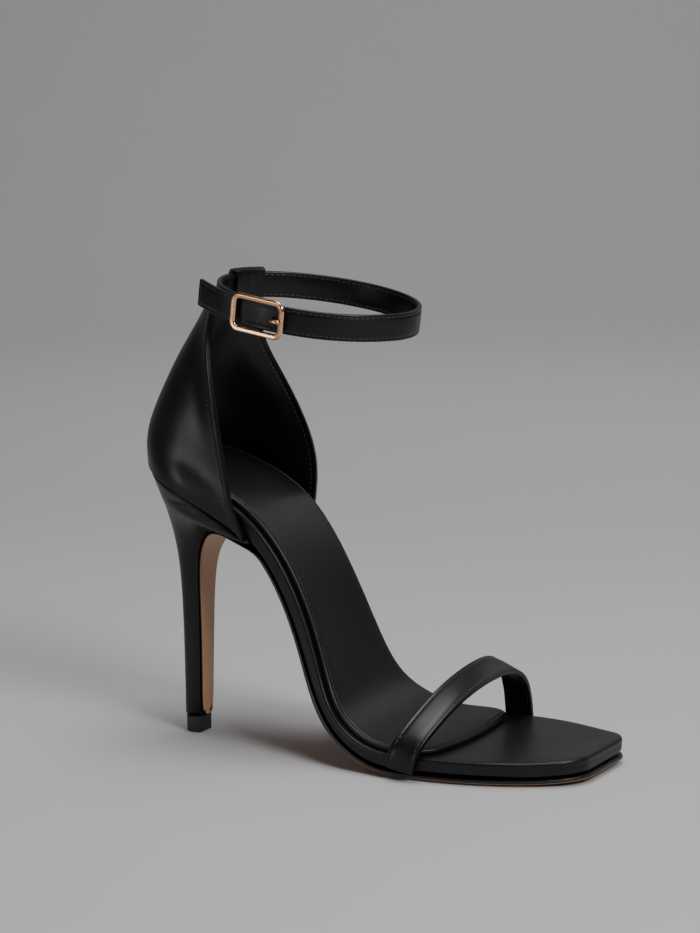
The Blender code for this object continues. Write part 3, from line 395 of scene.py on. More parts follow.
def natural_spline(knots: Sequence[float], values: Sequence[Sequence[float]]) -> Curve:
    """Smooth function of the knot that passes through each row of values.

    Args:
        knots: rising numbers.
        values: a row for each knot.

    Returns:
        The function.
    """
    at = np.array(knots, dtype=float)
    rows = np.array(values, dtype=float)
    count = len(at)
    step = np.diff(at)
    matrix = np.eye(count)
    right = np.zeros_like(rows)
    for i in range(1, count - 1):
        matrix[i, i - 1 : i + 2] = step[i - 1], 2 * (step[i - 1] + step[i]), step[i]
        right[i] = 6 * ((rows[i + 1] - rows[i]) / step[i] - (rows[i] - rows[i - 1]) / step[i - 1])
    bend = np.linalg.solve(matrix, right)

    def value(knot: float) -> np.ndarray:
        """The spline at a knot."""
        i = min(max(int(np.searchsorted(at, knot)) - 1, 0), count - 2)
        before = knot - at[i]
        after = at[i + 1] - knot
        size = step[i]
        cubic = (bend[i] * after**3 + bend[i + 1] * before**3) / (6 * size)
        left = (rows[i] / size - bend[i] * size / 6) * after
        return cubic + left + (rows[i + 1] / size - bend[i + 1] * size / 6) * before

    return value


def smooth_line(points: Sequence[Vector], pitch: float) -> list[Vector]:
    """Evenly spaced places on a smooth curve through the points."""
    knots = chord_knots(points)
    curve = natural_spline(knots, points)
    count = max(2, round(knots[-1] / pitch))
    return [Vector(curve(knots[-1] * i / count)) for i in range(count + 1)]


def placed(name: str, data: ID) -> Object:
    """A new object in the scene."""
    item = bpy.data.objects.new(name, data)
    bpy.context.scene.collection.objects.link(item)
    return item


def baked(item: Object) -> Mesh:
    """Removes an object and returns its mesh after its modifiers."""
    bpy.context.view_layer.update()
    mesh = bpy.data.meshes.new_from_object(item.evaluated_get(bpy.context.evaluated_depsgraph_get()))
    bpy.data.objects.remove(item)
    return mesh


def finish_bmesh(bm: BMesh, name: str) -> Mesh:
    """Frees a bmesh and returns it as a mesh."""
    mesh = bpy.data.meshes.new(name)
    bm.to_mesh(mesh)
    bm.free()
    return mesh


def surface(mesh: Mesh) -> BVHTree:
    """Search tree of a mesh's faces."""
    corners = [vertex.co for vertex in mesh.vertices]
    return BVHTree.FromPolygons(corners, [polygon.vertices for polygon in mesh.polygons])


def axes(first: Vector, second: Vector, third: Vector, origin: Vector) -> Matrix:
    """Matrix that takes X, Y and Z to three directions and the origin to a place."""
    return Matrix.Translation(origin) @ Matrix((first, second, third)).transposed().to_4x4()


def merged_copy(node: str) -> BMesh:
    """A node's mesh with its corners merged and its triangles joined to four-sided faces.

    Args:
        node: name of the CAD node.

    Returns:
        The bmesh, which the caller frees.
    """
    bm = bmesh.new()
    bm.from_mesh(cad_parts[node].data)
    bmesh.ops.remove_doubles(bm, verts=bm.verts, dist=0.00001)
    bmesh.ops.join_triangles(
        bm,
        faces=bm.faces,
        cmp_seam=False,
        cmp_sharp=False,
        cmp_uvs=False,
        cmp_vcols=False,
        cmp_materials=False,
        angle_face_threshold=math.radians(40),
        angle_shape_threshold=math.radians(60),
    )
    return bm


def crease_edges(bm: BMesh, above: float, amount: float) -> None:
    """Creases the edges that turn by more than an angle."""
    layer = bm.edges.layers.float.get("crease_edge") or bm.edges.layers.float.new("crease_edge")
    for edge in bm.edges:
        if len(edge.link_faces) == 2 and edge.calc_face_angle(0.0) > above:
            edge[layer] = amount


def subdivided(bm: BMesh, name: str, levels: int) -> Mesh:
    """Frees a bmesh and returns it as a mesh after Subdivision Surface."""
    mesh = finish_bmesh(bm, name + "_cage")
    cage = placed(name + "_cage", mesh)
    modifier = cage.modifiers.new("subdivision", "SUBSURF")
    modifier.levels = levels
    modifier.render_levels = levels
    dense = baked(cage)
    bpy.data.meshes.remove(mesh)
    dense.name = name
    return dense


def mark_vertices(mesh: Mesh, name: str, values: Iterable[float]) -> None:
    """Stores a number on each vertex."""
    layer = mesh.attributes.new(name, "FLOAT", "POINT")
    layer.data.foreach_set("value", np.fromiter(values, np.float32))


def sole_origin() -> Vector:
    """Origin of the sole's own frame, which the top piece fixes."""
    low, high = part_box("top_piece")
    return Vector((low.x - 12.0 * MM, (low.y + high.y) / 2, 0.0))


def near_tree(points: Sequence[Vector]) -> KDTree:
    """Search tree of places."""
    tree = KDTree(len(points))
    for index, point in enumerate(points):
        tree.insert(point, index)
    tree.balance()
    return tree


def tube(rings: Sequence[Sequence[Vector]], closed: bool = False) -> BMesh:
    """A tube through rings of as many points each.

    Args:
        rings: from one end to the other.
        closed: joins the last ring to the first. Otherwise both ends are filled.

    Returns:
        The bmesh, with faces pointing out.
    """
    rows = len(rings) if closed else len(rings) - 1
    count = len(rings[0])
    bm = bmesh.new()
    bmesh.ops.create_grid(bm, x_segments=rows, y_segments=count, size=1.0)
    for vertex in bm.verts:
        i = round((vertex.co.x + 1) / 2 * rows) % len(rings)
        j = round((vertex.co.y + 1) / 2 * count) % count
        vertex.co = rings[i][j]
    bmesh.ops.remove_doubles(bm, verts=bm.verts, dist=WELD)
    bmesh.ops.holes_fill(bm, edges=[edge for edge in bm.edges if edge.is_boundary], sides=0)
    bmesh.ops.recalc_face_normals(bm, faces=bm.faces)
    return bm


def circle(
    place: Matrix, centre: Vector, first: Vector, second: Vector, radius: float, count: int
) -> list[Vector]:
    """Points round a centre, in the plane of two directions."""
    turns = [2 * math.pi * k / count for k in range(count)]
    return [
        place @ (centre + first * (radius * math.cos(turn)) + second * (radius * math.sin(turn)))
        for turn in turns
    ]


def show(mesh: Mesh, name: str, finish: Material, slot: str, *nodes: str) -> Object:
    """Puts a finished mesh in the scene.

    Args:
        mesh: the mesh, in place.
        name: the piece's name.
        finish: its material.
        slot: the record's material slot. Not used.
        nodes: CAD nodes that it stands for.

    Returns:
        The object.
    """
    mesh.materials.clear()
    mesh.materials.append(finish)
    mesh.shade_smooth()
    piece = placed(name, mesh)
    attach(piece, BODY)
    if nodes:
        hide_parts(*nodes)
    log.info("%s: %d faces", name, len(mesh.polygons))
    return piece


def feature_walk(bm: BMesh, near: Vector, ahead: Vector, above: float, turn: float) -> list[Vector]:
    """Follows a sharp edge of a mesh from a corner.

    Args:
        bm: the mesh.
        near: place of the first corner.
        ahead: direction to set out in.
        above: an edge counts as sharp past this angle.
        turn: the walk ends where the line turns by more than this.

    Returns:
        The line's corners.
    """
    sharp = {edge for edge in bm.edges if len(edge.link_faces) == 2 and edge.calc_face_angle(0.0) > above}
    corners = {vertex for edge in sharp for vertex in edge.verts}
    here = min(corners, key=lambda vertex: (vertex.co - near).length)
    line = [here.co.copy()]
    heading = ahead.normalized()
    seen = {here}
    while True:
        best = None
        for edge in here.link_edges:
            other = edge.other_vert(here)
            if edge not in sharp or other in seen:
                continue
            off = heading.angle((other.co - here.co).normalized())
            if best is None or off < best[0]:
                best = (off, other)
        if best is None or best[0] > turn:
            return line
        heading = (best[1].co - here.co).normalized()
        here = best[1]
        seen.add(here)
        line.append(here.co.copy())


@dataclass(frozen=True)
class Seam:
    """A row of stitches: thread length, width and height, pitch, and how deep the thread sits."""

    length: float = 1.75 * MM
    width: float = 0.46 * MM
    height: float = 0.36 * MM
    pitch: float = 2.45 * MM
    sunk: float = 0.05 * MM

    def sew(self, bm: BMesh, line: Laid) -> None:
        """Adds the stitches along a line.

        Args:
            bm: mesh that takes the stitches.
            line: places on the surface with its outward normals.
        """
        places = [place for place, _ in line]
        knots = chord_knots(places)
        count = max(1, int(knots[-1] / self.pitch))
        start = (knots[-1] - (count - 1) * self.pitch) / 2
        k = 0
        for i in range(count):
            want = start + i * self.pitch
            while k < len(knots) - 2 and knots[k + 1] < want:
                k += 1
            share = (want - knots[k]) / max(knots[k + 1] - knots[k], 1e-9)
            along = (places[k + 1] - places[k]).normalized()
            normal = line[k][1].lerp(line[k + 1][1], share).normalized()
            across = normal.cross(along).normalized()
            normal = along.cross(across).normalized()
            centre = places[k].lerp(places[k + 1], share) - normal * self.sunk
            turn = axes(along, across, normal, centre)
            size = Matrix.Diagonal((self.length / 2, self.width / 2, self.height / 2, 1.0))
            bmesh.ops.create_icosphere(bm, subdivisions=2, radius=1.0, matrix=turn @ size)


def show_stitches(bm: BMesh, name: str, thread: Thread, slot: str) -> None:
    """Puts the stitches of a piece in the scene."""
    show(finish_bmesh(bm, name), name, thread.build(), slot)


def lay_on(tree: BVHTree, line: Sequence[Vector], inward: Vector, distance: float) -> Laid:
    """Moves a line over a surface by a distance.

    Args:
        tree: the surface.
        line: places on it.
        inward: the side that the line moves to.
        distance: how far.

    Returns:
        Places on the surface with its normals.
    """
    laid = []
    last = len(line) - 1
    for i, place in enumerate(line):
        along = (line[min(i + 1, last)] - line[max(i - 1, 0)]).normalized()
        side = (inward - along * inward.dot(along)).normalized()
        for _ in range(3):
            spot, normal, _, _ = tree.find_nearest(place + side * distance)
            side = (side - normal * side.dot(normal) - along * side.dot(along)).normalized()
        laid.append((spot, normal))
    return laid


@dataclass
class Station:
    """A place along a strap: centre, direction of its width, outward normal, thickness."""

    centre: Vector
    across: Vector
    normal: Vector
    thick: float


@dataclass(frozen=True)
class StrapSection:
    """Section of a sewn strap: outer leather and lining with a parting line round the edge.

    The outer face is slightly padded between two pressed seams, the inner face is pressed a little there.
    crown_rows holds how far inside the seam the padding has reached which share of its height.
    """

    width: float
    thick: float
    edge: float = 0.55 * MM
    seam_in: float = 1.35 * MM
    seam_depth: float = 0.20 * MM
    lining_depth: float = 0.10 * MM
    groove: float = 0.38 * MM
    lip: float = 0.06 * MM
    crown: float = 0.28 * MM
    crown_rows: tuple[tuple[float, float], ...] = ((1.3 * MM, 0.62), (2.3 * MM, 0.88))
    crown_end: float = 1.5 * MM
    parting: float = 0.13 * MM
    thread_out: float = 0.10 * MM
    thinnest: float = 0.2

    def half_outline(self) -> list[tuple[float, float]]:
        """Points (across, out) from the inner face's middle round one edge to the outer face's middle."""
        half = self.width / 2
        deep = self.thick / 2
        soft = self.edge
        seam = half - self.seam_in
        points = [
            (0.0, -deep),
            (seam - self.groove, -deep),
            (seam, -deep + self.lining_depth),
            (seam + self.groove, -deep),
            (half - soft, -deep),
        ]
        for degrees in (-60, -30):
            turn = math.radians(degrees)
            points.append((half - soft + soft * math.cos(turn), soft - deep + soft * math.sin(turn)))
        points += [(half, -self.parting), (half - self.parting, 0.0), (half, self.parting)]
        for degrees in (30, 60):
            turn = math.radians(degrees)
            points.append((half - soft + soft * math.cos(turn), deep - soft + soft * math.sin(turn)))
        points += [
            (half - soft, deep),
            (seam + self.groove, deep),
            (seam, deep - self.seam_depth),
            (seam - self.groove, deep + self.lip),
            *((seam - inside, deep + share * self.crown) for inside, share in self.crown_rows),
            (0.0, deep + self.crown),
        ]
        return points

    def outline(self) -> list[tuple[float, float]]:
        """Points (across, out) round the whole section."""
        first = self.half_outline()
        return first + [(-a, b) for a, b in first[-2:0:-1]]


def sweep(stations: Sequence[Station], section: StrapSection, end: float) -> BMesh:
    """A closed strap along its stations.

    Args:
        stations: from one end to the other.
        section: its section.
        end: softness of the last end's edges in metres.
            Where it isn't 0, the pressed seam goes round that end.

    Returns:
        The bmesh, with faces pointing out.
    """
    half = section.width / 2
    knots = chord_knots([station.centre for station in stations])
    rings = []
    for station, knot in zip(stations, knots):
        left = knots[-1] - knot
        shrink = end * (1 - math.sqrt(1 - (1 - left / end) ** 2)) if left < end else 0.0
        ring = []
        for a, b in section.outline():
            b *= station.thick / section.thick
            if end and b > 0.0 and abs(a) < half - section.seam_in:
                b -= section.seam_depth * hump(left, section.seam_in, section.groove)
                flat = 1 - smoothstep(left, section.seam_in, section.seam_in + section.crown_end)
                b -= section.crown * flat
            a *= (half - shrink) / half
            b *= max(1 - 2 * shrink / section.thick, section.thinnest)
            ring.append(station.centre + station.across * a + station.normal * b)
        rings.append(ring)
    return tube(rings)


def strap_seams(stations: Sequence[Station], section: StrapSection, face: int) -> list[Laid]:
    """Places and normals of a strap's two rows of stitches, on its outer (1) or inner (-1) face."""
    rows = []
    sunk = section.seam_depth if face > 0 else section.lining_depth
    for side in Side:
        row = []
        for station in stations:
            out = face * (station.thick / 2 - sunk + section.thread_out)
            place = station.centre + station.across * side.value * (section.width / 2 - section.seam_in)
            row.append((place + station.normal * out, station.normal * face))
        rows.append(row)
    return rows


@dataclass
class Platform:
    """The wrapped platform, its bead round the top and the seam under it."""

    levels: int = 2
    finish: Leather = Leather("platform_leather", roughness=0.40)

    def build(self) -> None:
        """Makes the piece."""
        mesh = subdivided(merged_copy("platform"), "platform_wrap", self.levels)
        show(mesh, "platform_wrap", self.finish.build(), "platform_leather", "platform")


@dataclass
class Sock:
    """The padded sock with a seam pressed all round, inside its edge."""

    levels: int = 3
    sharp: float = math.radians(60)
    crease: float = 0.6
    seam_in: float = 2.6 * MM
    seam_width: float = 0.45 * MM
    rim: float = 0.10 * MM
    rim_out: float = 1.2 * MM
    rim_width: float = 0.8 * MM
    spacing: float = 0.5 * MM
    reach: float = 50 * MM
    above: float = 0.3
    halvings: int = 16
    finish: Leather = Leather("sock_leather", roughness=0.43, coat=0.06, groove_at=seam_in)
    seam: Seam = Seam(length=1.5 * MM, width=0.34 * MM, height=0.26 * MM, pitch=2.2 * MM, sunk=0.0)
    thread: Thread = Thread("sock_thread", (0.014, 0.014, 0.0145))

    def build(self) -> None:
        """Makes the piece and its seam."""
        bm = merged_copy("sock")
        rim = self.outline(bm)
        crease_edges(bm, self.sharp, self.crease)
        mesh = subdivided(bm, "sock_pad", self.levels)
        tree = near_tree(rim)
        mark_vertices(mesh, "edge", (tree.find(vertex.co)[2] for vertex in mesh.vertices))
        self.press(mesh)
        piece = show(mesh, "sock_pad", self.finish.build(), "sock_leather", "sock")
        threads = bmesh.new()
        self.seam.sew(threads, self.seam_line(surface(mesh), rim))
        show_stitches(threads, "sock_stitches", self.thread, "sock_leather")

    def press(self, mesh: Mesh) -> None:
        """Rounds the rim up a little and presses the seam in, on the upper face."""
        away = [value.value for value in mesh.attributes["edge"].data]
        normals = [vertex.normal.copy() for vertex in mesh.vertices]
        for vertex, normal, gap in zip(mesh.vertices, normals, away):
            if normal.z > 0.2:
                lift = self.rim * hump(gap, self.seam_in - self.rim_out, self.rim_width)
                vertex.co += normal * (lift - self.rim * hump(gap, self.seam_in, self.seam_width))

    def seam_line(self, tree: BVHTree, rim: Sequence[Vector]) -> Laid:
        """Places of the seam on the pad, all round, found from the middle line outwards."""
        low = Vector([min(place[k] for place in rim) for k in range(3)])
        high = Vector([max(place[k] for place in rim) for k in range(3)])
        near = near_tree(rim)
        sides = {Side.LATERAL: [], Side.MEDIAL: []}
        middle = (low.y + high.y) / 2
        steps = round((high.x - low.x) / self.spacing)
        for side in Side:
            for i in range(1, steps):
                x = low.x + (high.x - low.x) * i / steps
                spot = self.seam_spot(tree, near, x, middle, side)
                if spot is not None:
                    sides[side].append(spot)
        return sides[Side.LATERAL] + sides[Side.MEDIAL][::-1]

    def seam_spot(
        self, tree: BVHTree, near: KDTree, x: float, middle: float, side: Side
    ) -> tuple[Vector, Vector] | None:
        """Place across from the middle line where the rim is as near as the seam, with its normal."""
        inside, outside = 0.0, self.reach
        best = None
        for _ in range(self.halvings):
            across = (inside + outside) / 2
            above = Vector((x, middle + side.value * across, self.above))
            spot, normal, _, _ = tree.ray_cast(above, -Z_AXIS)
            if spot is not None and near.find(spot)[2] > self.seam_in:
                inside = across
                best = (spot, normal)
            else:
                outside = across
        return best

    def outline(self, bm: BMesh) -> list[Vector]:
        """Dense places along the sock's lower rim."""
        places = []
        for edge in bm.edges:
            if len(edge.link_faces) == 2 and edge.calc_face_angle(0.0) > self.sharp:
                first, second = edge.verts
                count = max(1, round(edge.calc_length() / self.spacing))
                places += [first.co.lerp(second.co, i / count) for i in range(count)]
        return places


@dataclass
class Outsole:
    """The thin tan outsole with its flap down the heel's breast, edges painted black."""

    levels: int = 2
    bend: float = math.radians(30.0)
    finish: SoleLeather = SoleLeather("outsole_leather")

    def build(self) -> None:
        """Makes the piece."""
        bm = merged_copy("outsole")
        bare = self.under_face(bm)
        log.info("outsole: %d of %d faces unpainted", len(bare), len(bm.faces))
        for face in bm.faces:
            face.material_index = int(face not in bare)
        mesh = subdivided(bm, "outsole_leather", self.levels)
        layer = mesh.attributes.new("paint", "FLOAT", "FACE")
        for polygon in mesh.polygons:
            layer.data[polygon.index].value = float(polygon.material_index)
            polygon.material_index = 0
        show(mesh, "outsole_leather", self.finish.build(), "outsole", "outsole")

    def under_face(self, bm: BMesh) -> set[BMFace]:
        """Faces of the tread and of the flap: all that one face of each reaches over soft bends."""
        down = [face for face in bm.faces if face.normal.z < -0.9]
        ahead = [face for face in bm.faces if face.normal.x > 0.7]
        found = {
            min(down, key=lambda face: face.calc_center_median().z),
            min(ahead, key=lambda face: face.calc_center_median().x),
        }
        edge_of_search = list(found)
        while edge_of_search:
            for edge in edge_of_search.pop().edges:
                for face in edge.link_faces:
                    if face not in found and edge.calc_face_angle(0.0) < self.bend:
                        found.add(face)
                        edge_of_search.append(face)
        return found


@dataclass
class Heel:
    """The slim covered heel."""

    levels: int = 2
    sharp: float = math.radians(50)
    crease: float = 0.85
    finish: Leather = Leather("heel_leather", roughness=0.38, coat=0.10)

    def build(self) -> None:
        """Makes the piece."""
        bm = merged_copy("heel")
        crease_edges(bm, self.sharp, self.crease)
        mesh = subdivided(bm, "heel_cover", self.levels)
        show(mesh, "heel_cover", self.finish.build(), "heel_leather", "heel")


@dataclass
class TopPiece:
    """The rubber block under the heel, with soft edges."""

    edge: float = 0.35 * MM
    segments: int = 3
    flat: float = math.radians(1)
    sharp: float = math.radians(40)
    shown_sharp: float = math.radians(30)
    finish: Rubber = Rubber("top_piece_rubber")

    def build(self) -> None:
        """Makes the piece."""
        bm = merged_copy("top_piece")
        bmesh.ops.dissolve_limit(bm, angle_limit=self.flat, verts=bm.verts, edges=bm.edges)
        sharp = [edge for edge in bm.edges if edge.calc_face_angle(0.0) > self.sharp]
        bmesh.ops.bevel(
            bm, geom=sharp, offset=self.edge, affect="EDGES", segments=self.segments, profile=0.5, material=-1
        )
        mesh = finish_bmesh(bm, "top_piece_block")
        piece = show(mesh, "top_piece_block", self.finish.build(), "top_piece_rubber", "top_piece")
        piece.data.set_sharp_from_angle(angle=self.shown_sharp)


@dataclass
class Loop:
    """The ankle loop: an oval in a tilted plane, in the sole's own frame."""

    length: float = 81.5 * MM
    width: float = 64.2 * MM
    centre: float = 73.4 * MM
    height: float = 175.6 * MM
    tilt: float = math.radians(8.0)
    roll: float = math.radians(2.9)
    strap_width: float = 10.6 * MM
    strap: float = 1.8 * MM
    gap: float = 0.3 * MM
    counter_wall: float = 1.8 * MM
    fold_step: float = 0.45 * MM

    def matrix(self) -> Matrix:
        """The loop's frame."""
        middle = Matrix.Translation(sole_origin() + Vector((self.centre, 0.0, self.height)))
        return middle @ Matrix.Rotation(self.tilt, 4, "Y") @ Matrix.Rotation(self.roll, 4, "X")

    def oval(self, angle: float, out: float) -> Vector:
        """Point of the plane: angle from the back towards the lateral side, out from the middle line."""
        return Vector((
            -(self.length / 2 + out) * math.cos(angle),
            -(self.width / 2 + out) * math.sin(angle),
            0.0,
        ))

    def place(self, angle: float, out: float, lift: float = 0.0) -> Vector:
        """The same point in space, lifted along the strap's width."""
        return self.matrix() @ (self.oval(angle, out) + Vector((0.0, 0.0, lift)))


LOOP = Loop()


@dataclass(frozen=True)
class Crease:
    """A soft crease down the counter's tab: angle and width in degrees, and its share of the depth."""

    angle: float
    width: float
    depth: float


@dataclass
class Counter:
    """The heel counter with bound front edges, rows of stitches, a soft trough behind the lateral binding.

    Each pair of heights above the counter's lowest point is where the trough fades in or out.
    """

    levels: int = 3
    sharp: float = math.radians(50)
    sharpness: float = 0.7
    line_pitch: float = 0.4 * MM
    binding: float = 1.5 * MM
    binding_edge: float = 0.4 * MM
    step: float = 0.22 * MM
    step_lost: float = 0.7
    step_fades: tuple[float, float] = (binding + 1.6 * MM, binding + 8.0 * MM)
    stitches_in: float = 2.7 * MM
    bare_top: int = 4
    bare_foot: int = 3
    trough: float = 0.24 * MM
    trough_in: float = 8.8 * MM
    trough_width: float = 3.4 * MM
    trough_starts: tuple[float, float] = (34 * MM, 56 * MM)
    trough_ends: tuple[float, float] = (78 * MM, 88 * MM)
    crease: float = 0.16 * MM
    creases: tuple[Crease, ...] = (Crease(-29.5, 1.1, 0.8), Crease(-22.0, 0.9, 1.0), Crease(-15.5, 1.2, 0.7))
    crease_fades: tuple[float, float] = (0.28 * LOOP.strap_width, 0.46 * LOOP.strap_width)
    wander: float = 1.2
    wander_length: float = 2.4 * MM
    edge_lat: float = math.radians(38.0)
    edge_med: float = math.radians(33.5)
    finish: Leather = Leather("counter_leather", roughness=0.34, coat=0.12)
    seam: Seam = Seam(length=1.4 * MM, width=0.36 * MM, height=0.26 * MM, pitch=2.0 * MM)
    thread: Thread = Thread("counter_thread")

    def edge_line(self, bm: BMesh, side: Side, out: float) -> list[Vector]:
        """The front edge from the ankle strap down to the sole, on the outer or the inner face."""
        angle = self.edge_lat if side is Side.LATERAL else -self.edge_med
        top = LOOP.place(angle, out)
        return feature_walk(bm, top, Vector((0.25, 0.0, -1.0)), self.sharp, self.sharp)

    def build(self) -> None:
        """Makes the piece and its seams."""
        bm = merged_copy("counter")
        near = LOOP.strap / 2 + LOOP.gap
        far = near + LOOP.counter_wall + LOOP.fold_step
        lines = {}
        for side in Side:
            for name, out in (("inner", near), ("outer", far)):
                lines[side, name] = smooth_line(self.edge_line(bm, side, out), self.line_pitch)
        crease_edges(bm, self.sharp, self.sharpness)
        mesh = subdivided(bm, "counter_cup", self.levels)
        self.shape(mesh, lines)
        show(mesh, "counter_cup", self.finish.build(), "counter_leather", "counter")
        threads = bmesh.new()
        tree = surface(mesh)
        for line in lines.values():
            laid = lay_on(tree, line, -X_AXIS, self.stitches_in)
            self.seam.sew(threads, laid[self.bare_top : -self.bare_foot])
        show_stitches(threads, "counter_stitches", self.thread, "counter_leather")

    def shape(self, mesh: Mesh, lines: dict) -> None:
        """Presses the binding's step, the seam and the trough into the mesh."""
        trees = {key: near_tree(line) for key, line in lines.items()}
        normals = [vertex.normal.copy() for vertex in mesh.vertices]
        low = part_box("counter")[0].z
        loop = LOOP.matrix().inverted()
        for vertex, normal in zip(mesh.vertices, normals):
            side = Side.LATERAL if vertex.co.y < 0 else Side.MEDIAL
            outer = trees[side, "outer"].find(vertex.co)[2]
            inner = trees[side, "inner"].find(vertex.co)[2]
            away = min(outer, inner)
            up = vertex.co.z - low
            soft = self.binding_edge
            sink = self.step * smoothstep(away, self.binding - soft, self.binding + soft)
            sink *= 1 - self.step_lost * smoothstep(away, *self.step_fades)
            fade = smoothstep(up, *self.trough_starts) * (1 - smoothstep(up, *self.trough_ends))
            if side is Side.LATERAL and outer < inner:
                sink += self.trough * fade * hump(outer, self.trough_in, self.trough_width)
            sink += self.crease * self.tab_creases(loop @ vertex.co)
            vertex.co -= normal * sink

    def tab_creases(self, place: Vector) -> float:
        """Soft creases down the tab that the strap goes through, 0 to 1, at a place in the loop's frame."""
        fade = 1 - smoothstep(abs(place.z), *self.crease_fades)
        angle = math.degrees(math.atan2(-place.y / LOOP.width, -place.x / LOOP.length))
        wander = self.wander * math.sin(place.z / self.wander_length)
        return fade * sum(row.depth * hump(angle, row.angle + wander, row.width) for row in self.creases)


@dataclass(frozen=True)
class ToeRow:
    """A section of the toe strap.

    Its place is in shares of the strap's width, of half the ball's width and of the strap's rise.
    """

    along: float
    across: float
    rise: float
    lean: float


TOE_ROWS = (
    ToeRow(-0.90, -1.026, -0.225, 0.0),
    ToeRow(-0.84, -1.030, -0.090, 0.0),
    ToeRow(-0.71, -1.012, 0.110, 2.0),
    ToeRow(-0.49, -0.880, 0.350, 6.0),
    ToeRow(-0.29, -0.640, 0.580, 10.0),
    ToeRow(-0.12, -0.360, 0.770, 15.0),
    ToeRow(0.04, 0.000, 0.915, 21.0),
    ToeRow(0.19, 0.350, 0.985, 26.0),
    ToeRow(0.30, 0.640, 0.960, 25.0),
    ToeRow(0.37, 0.860, 0.770, 20.0),
    ToeRow(0.40, 0.985, 0.440, 11.0),
    ToeRow(0.40, 1.040, 0.110, 3.0),
    ToeRow(0.40, 1.055, -0.100, 0.0),
    ToeRow(0.40, 1.055, -0.225, 0.0),
)


@dataclass
class ToeStrap:
    """The strap over the toes, sewn along both edges."""

    width: float = 11.8 * MM
    thick: float = 2.1 * MM
    rise: float = 23.8 * MM
    at: float = 135.8 * MM
    half_ball: float = 40.0 * MM
    forefoot_top: float = 9.5 * MM
    steps: int = 150
    reach: float = 0.5 * MM
    sewn_above: float = 2.5 * MM
    finish: Leather = Leather("toe_strap_leather", roughness=0.36, coat=0.10)
    seam: Seam = Seam()
    thread: Thread = Thread("toe_strap_thread")

    def stations(self) -> list[Station]:
        """Stations from the lateral to the medial end."""
        origin = sole_origin()
        places = []
        for row in TOE_ROWS:
            places.append((
                self.at + row.along * self.width,
                row.across * self.half_ball,
                self.forefoot_top + row.rise * self.rise,
                row.lean,
            ))
        knots = chord_knots([place[:3] for place in places])
        curve = natural_spline(knots, places)
        stations = []
        for i in range(self.steps + 1):
            knot = knots[-1] * i / self.steps
            x, y, z, lean = curve(knot)
            low_place = curve(max(knot - self.reach, 0.0))
            high_place = curve(min(knot + self.reach, knots[-1]))
            along = Vector(high_place[:3] - low_place[:3]).normalized()
            turn = math.radians(lean)
            across = Vector((math.cos(turn), 0.0, -math.sin(turn)))
            normal = across.cross(along).normalized()
            across = along.cross(normal).normalized()
            stations.append(Station(origin + Vector((x, y, z)), across, normal, self.thick))
        return stations

    def build(self) -> None:
        """Makes the strap and its stitches."""
        section = StrapSection(self.width, self.thick, seam_in=1.55 * MM)
        stations = self.stations()
        mesh = subdivided(sweep(stations, section, 0.0), "toe_strap_band", 1)
        show(mesh, "toe_strap_band", self.finish.build(), "toe_strap_leather", "toe_strap")
        threads = bmesh.new()
        sewn = [station for station in stations if station.centre.z > self.forefoot_top + self.sewn_above]
        for face in (1, -1):
            for row in strap_seams(sewn, section, face):
                self.seam.sew(threads, row)
        show_stitches(threads, "toe_strap_stitches", self.thread, "toe_strap_leather")


@dataclass
class BuckleSizes:
    """The buckle: outer size, corner, wire of its rails, bar and prong, and its place on the loop."""

    length: float = 24.6 * MM
    height: float = 15.2 * MM
    corner: float = 4.0 * MM
    rail: float = 1.12 * MM
    bar: float = 0.7 * MM
    prong: float = 0.8 * MM
    angle: float = math.radians(79.5)
    prong_hole: float = 6.6 * MM

    def second_turn(self) -> float:
        """Distance of the outer turn's middle line from the inner turn's."""
        return LOOP.strap + LOOP.gap

    def frame_out(self) -> float:
        """Distance of the rails' middle line from the inner turn's."""
        return self.second_turn() + LOOP.strap / 2 + LOOP.gap + self.rail

    def bar_out(self) -> float:
        """Distance of the bar's middle line from the inner turn's."""
        return -LOOP.gap / 2 - self.bar

    def local(self) -> Matrix:
        """Frame in the loop's plane: X towards the toe, Y out of the shoe, Z along the strap's width."""
        origin = LOOP.oval(self.angle, 0.0)
        ahead = (LOOP.oval(self.angle + 0.01, 0.0) - LOOP.oval(self.angle - 0.01, 0.0)).normalized()
        outward = Vector((ahead.y, -ahead.x, 0.0))
        return axes(ahead, outward, Z_AXIS, origin)


BUCKLE = BuckleSizes()


@dataclass(frozen=True)
class TipRow:
    """A place on the strap's free end: angle in degrees, share of its clearance, lift in strap widths."""

    angle: float
    out: float
    lift: float


TIP_ROWS = (
    TipRow(-288.0, 0.45, 0.00),
    TipRow(-294.0, 0.53, 0.01),
    TipRow(-300.0, 0.72, 0.03),
    TipRow(-306.0, 0.95, 0.05),
    TipRow(-312.0, 1.12, 0.08),
    TipRow(-318.0, 1.32, 0.11),
    TipRow(-327.0, 1.68, 0.15),
)


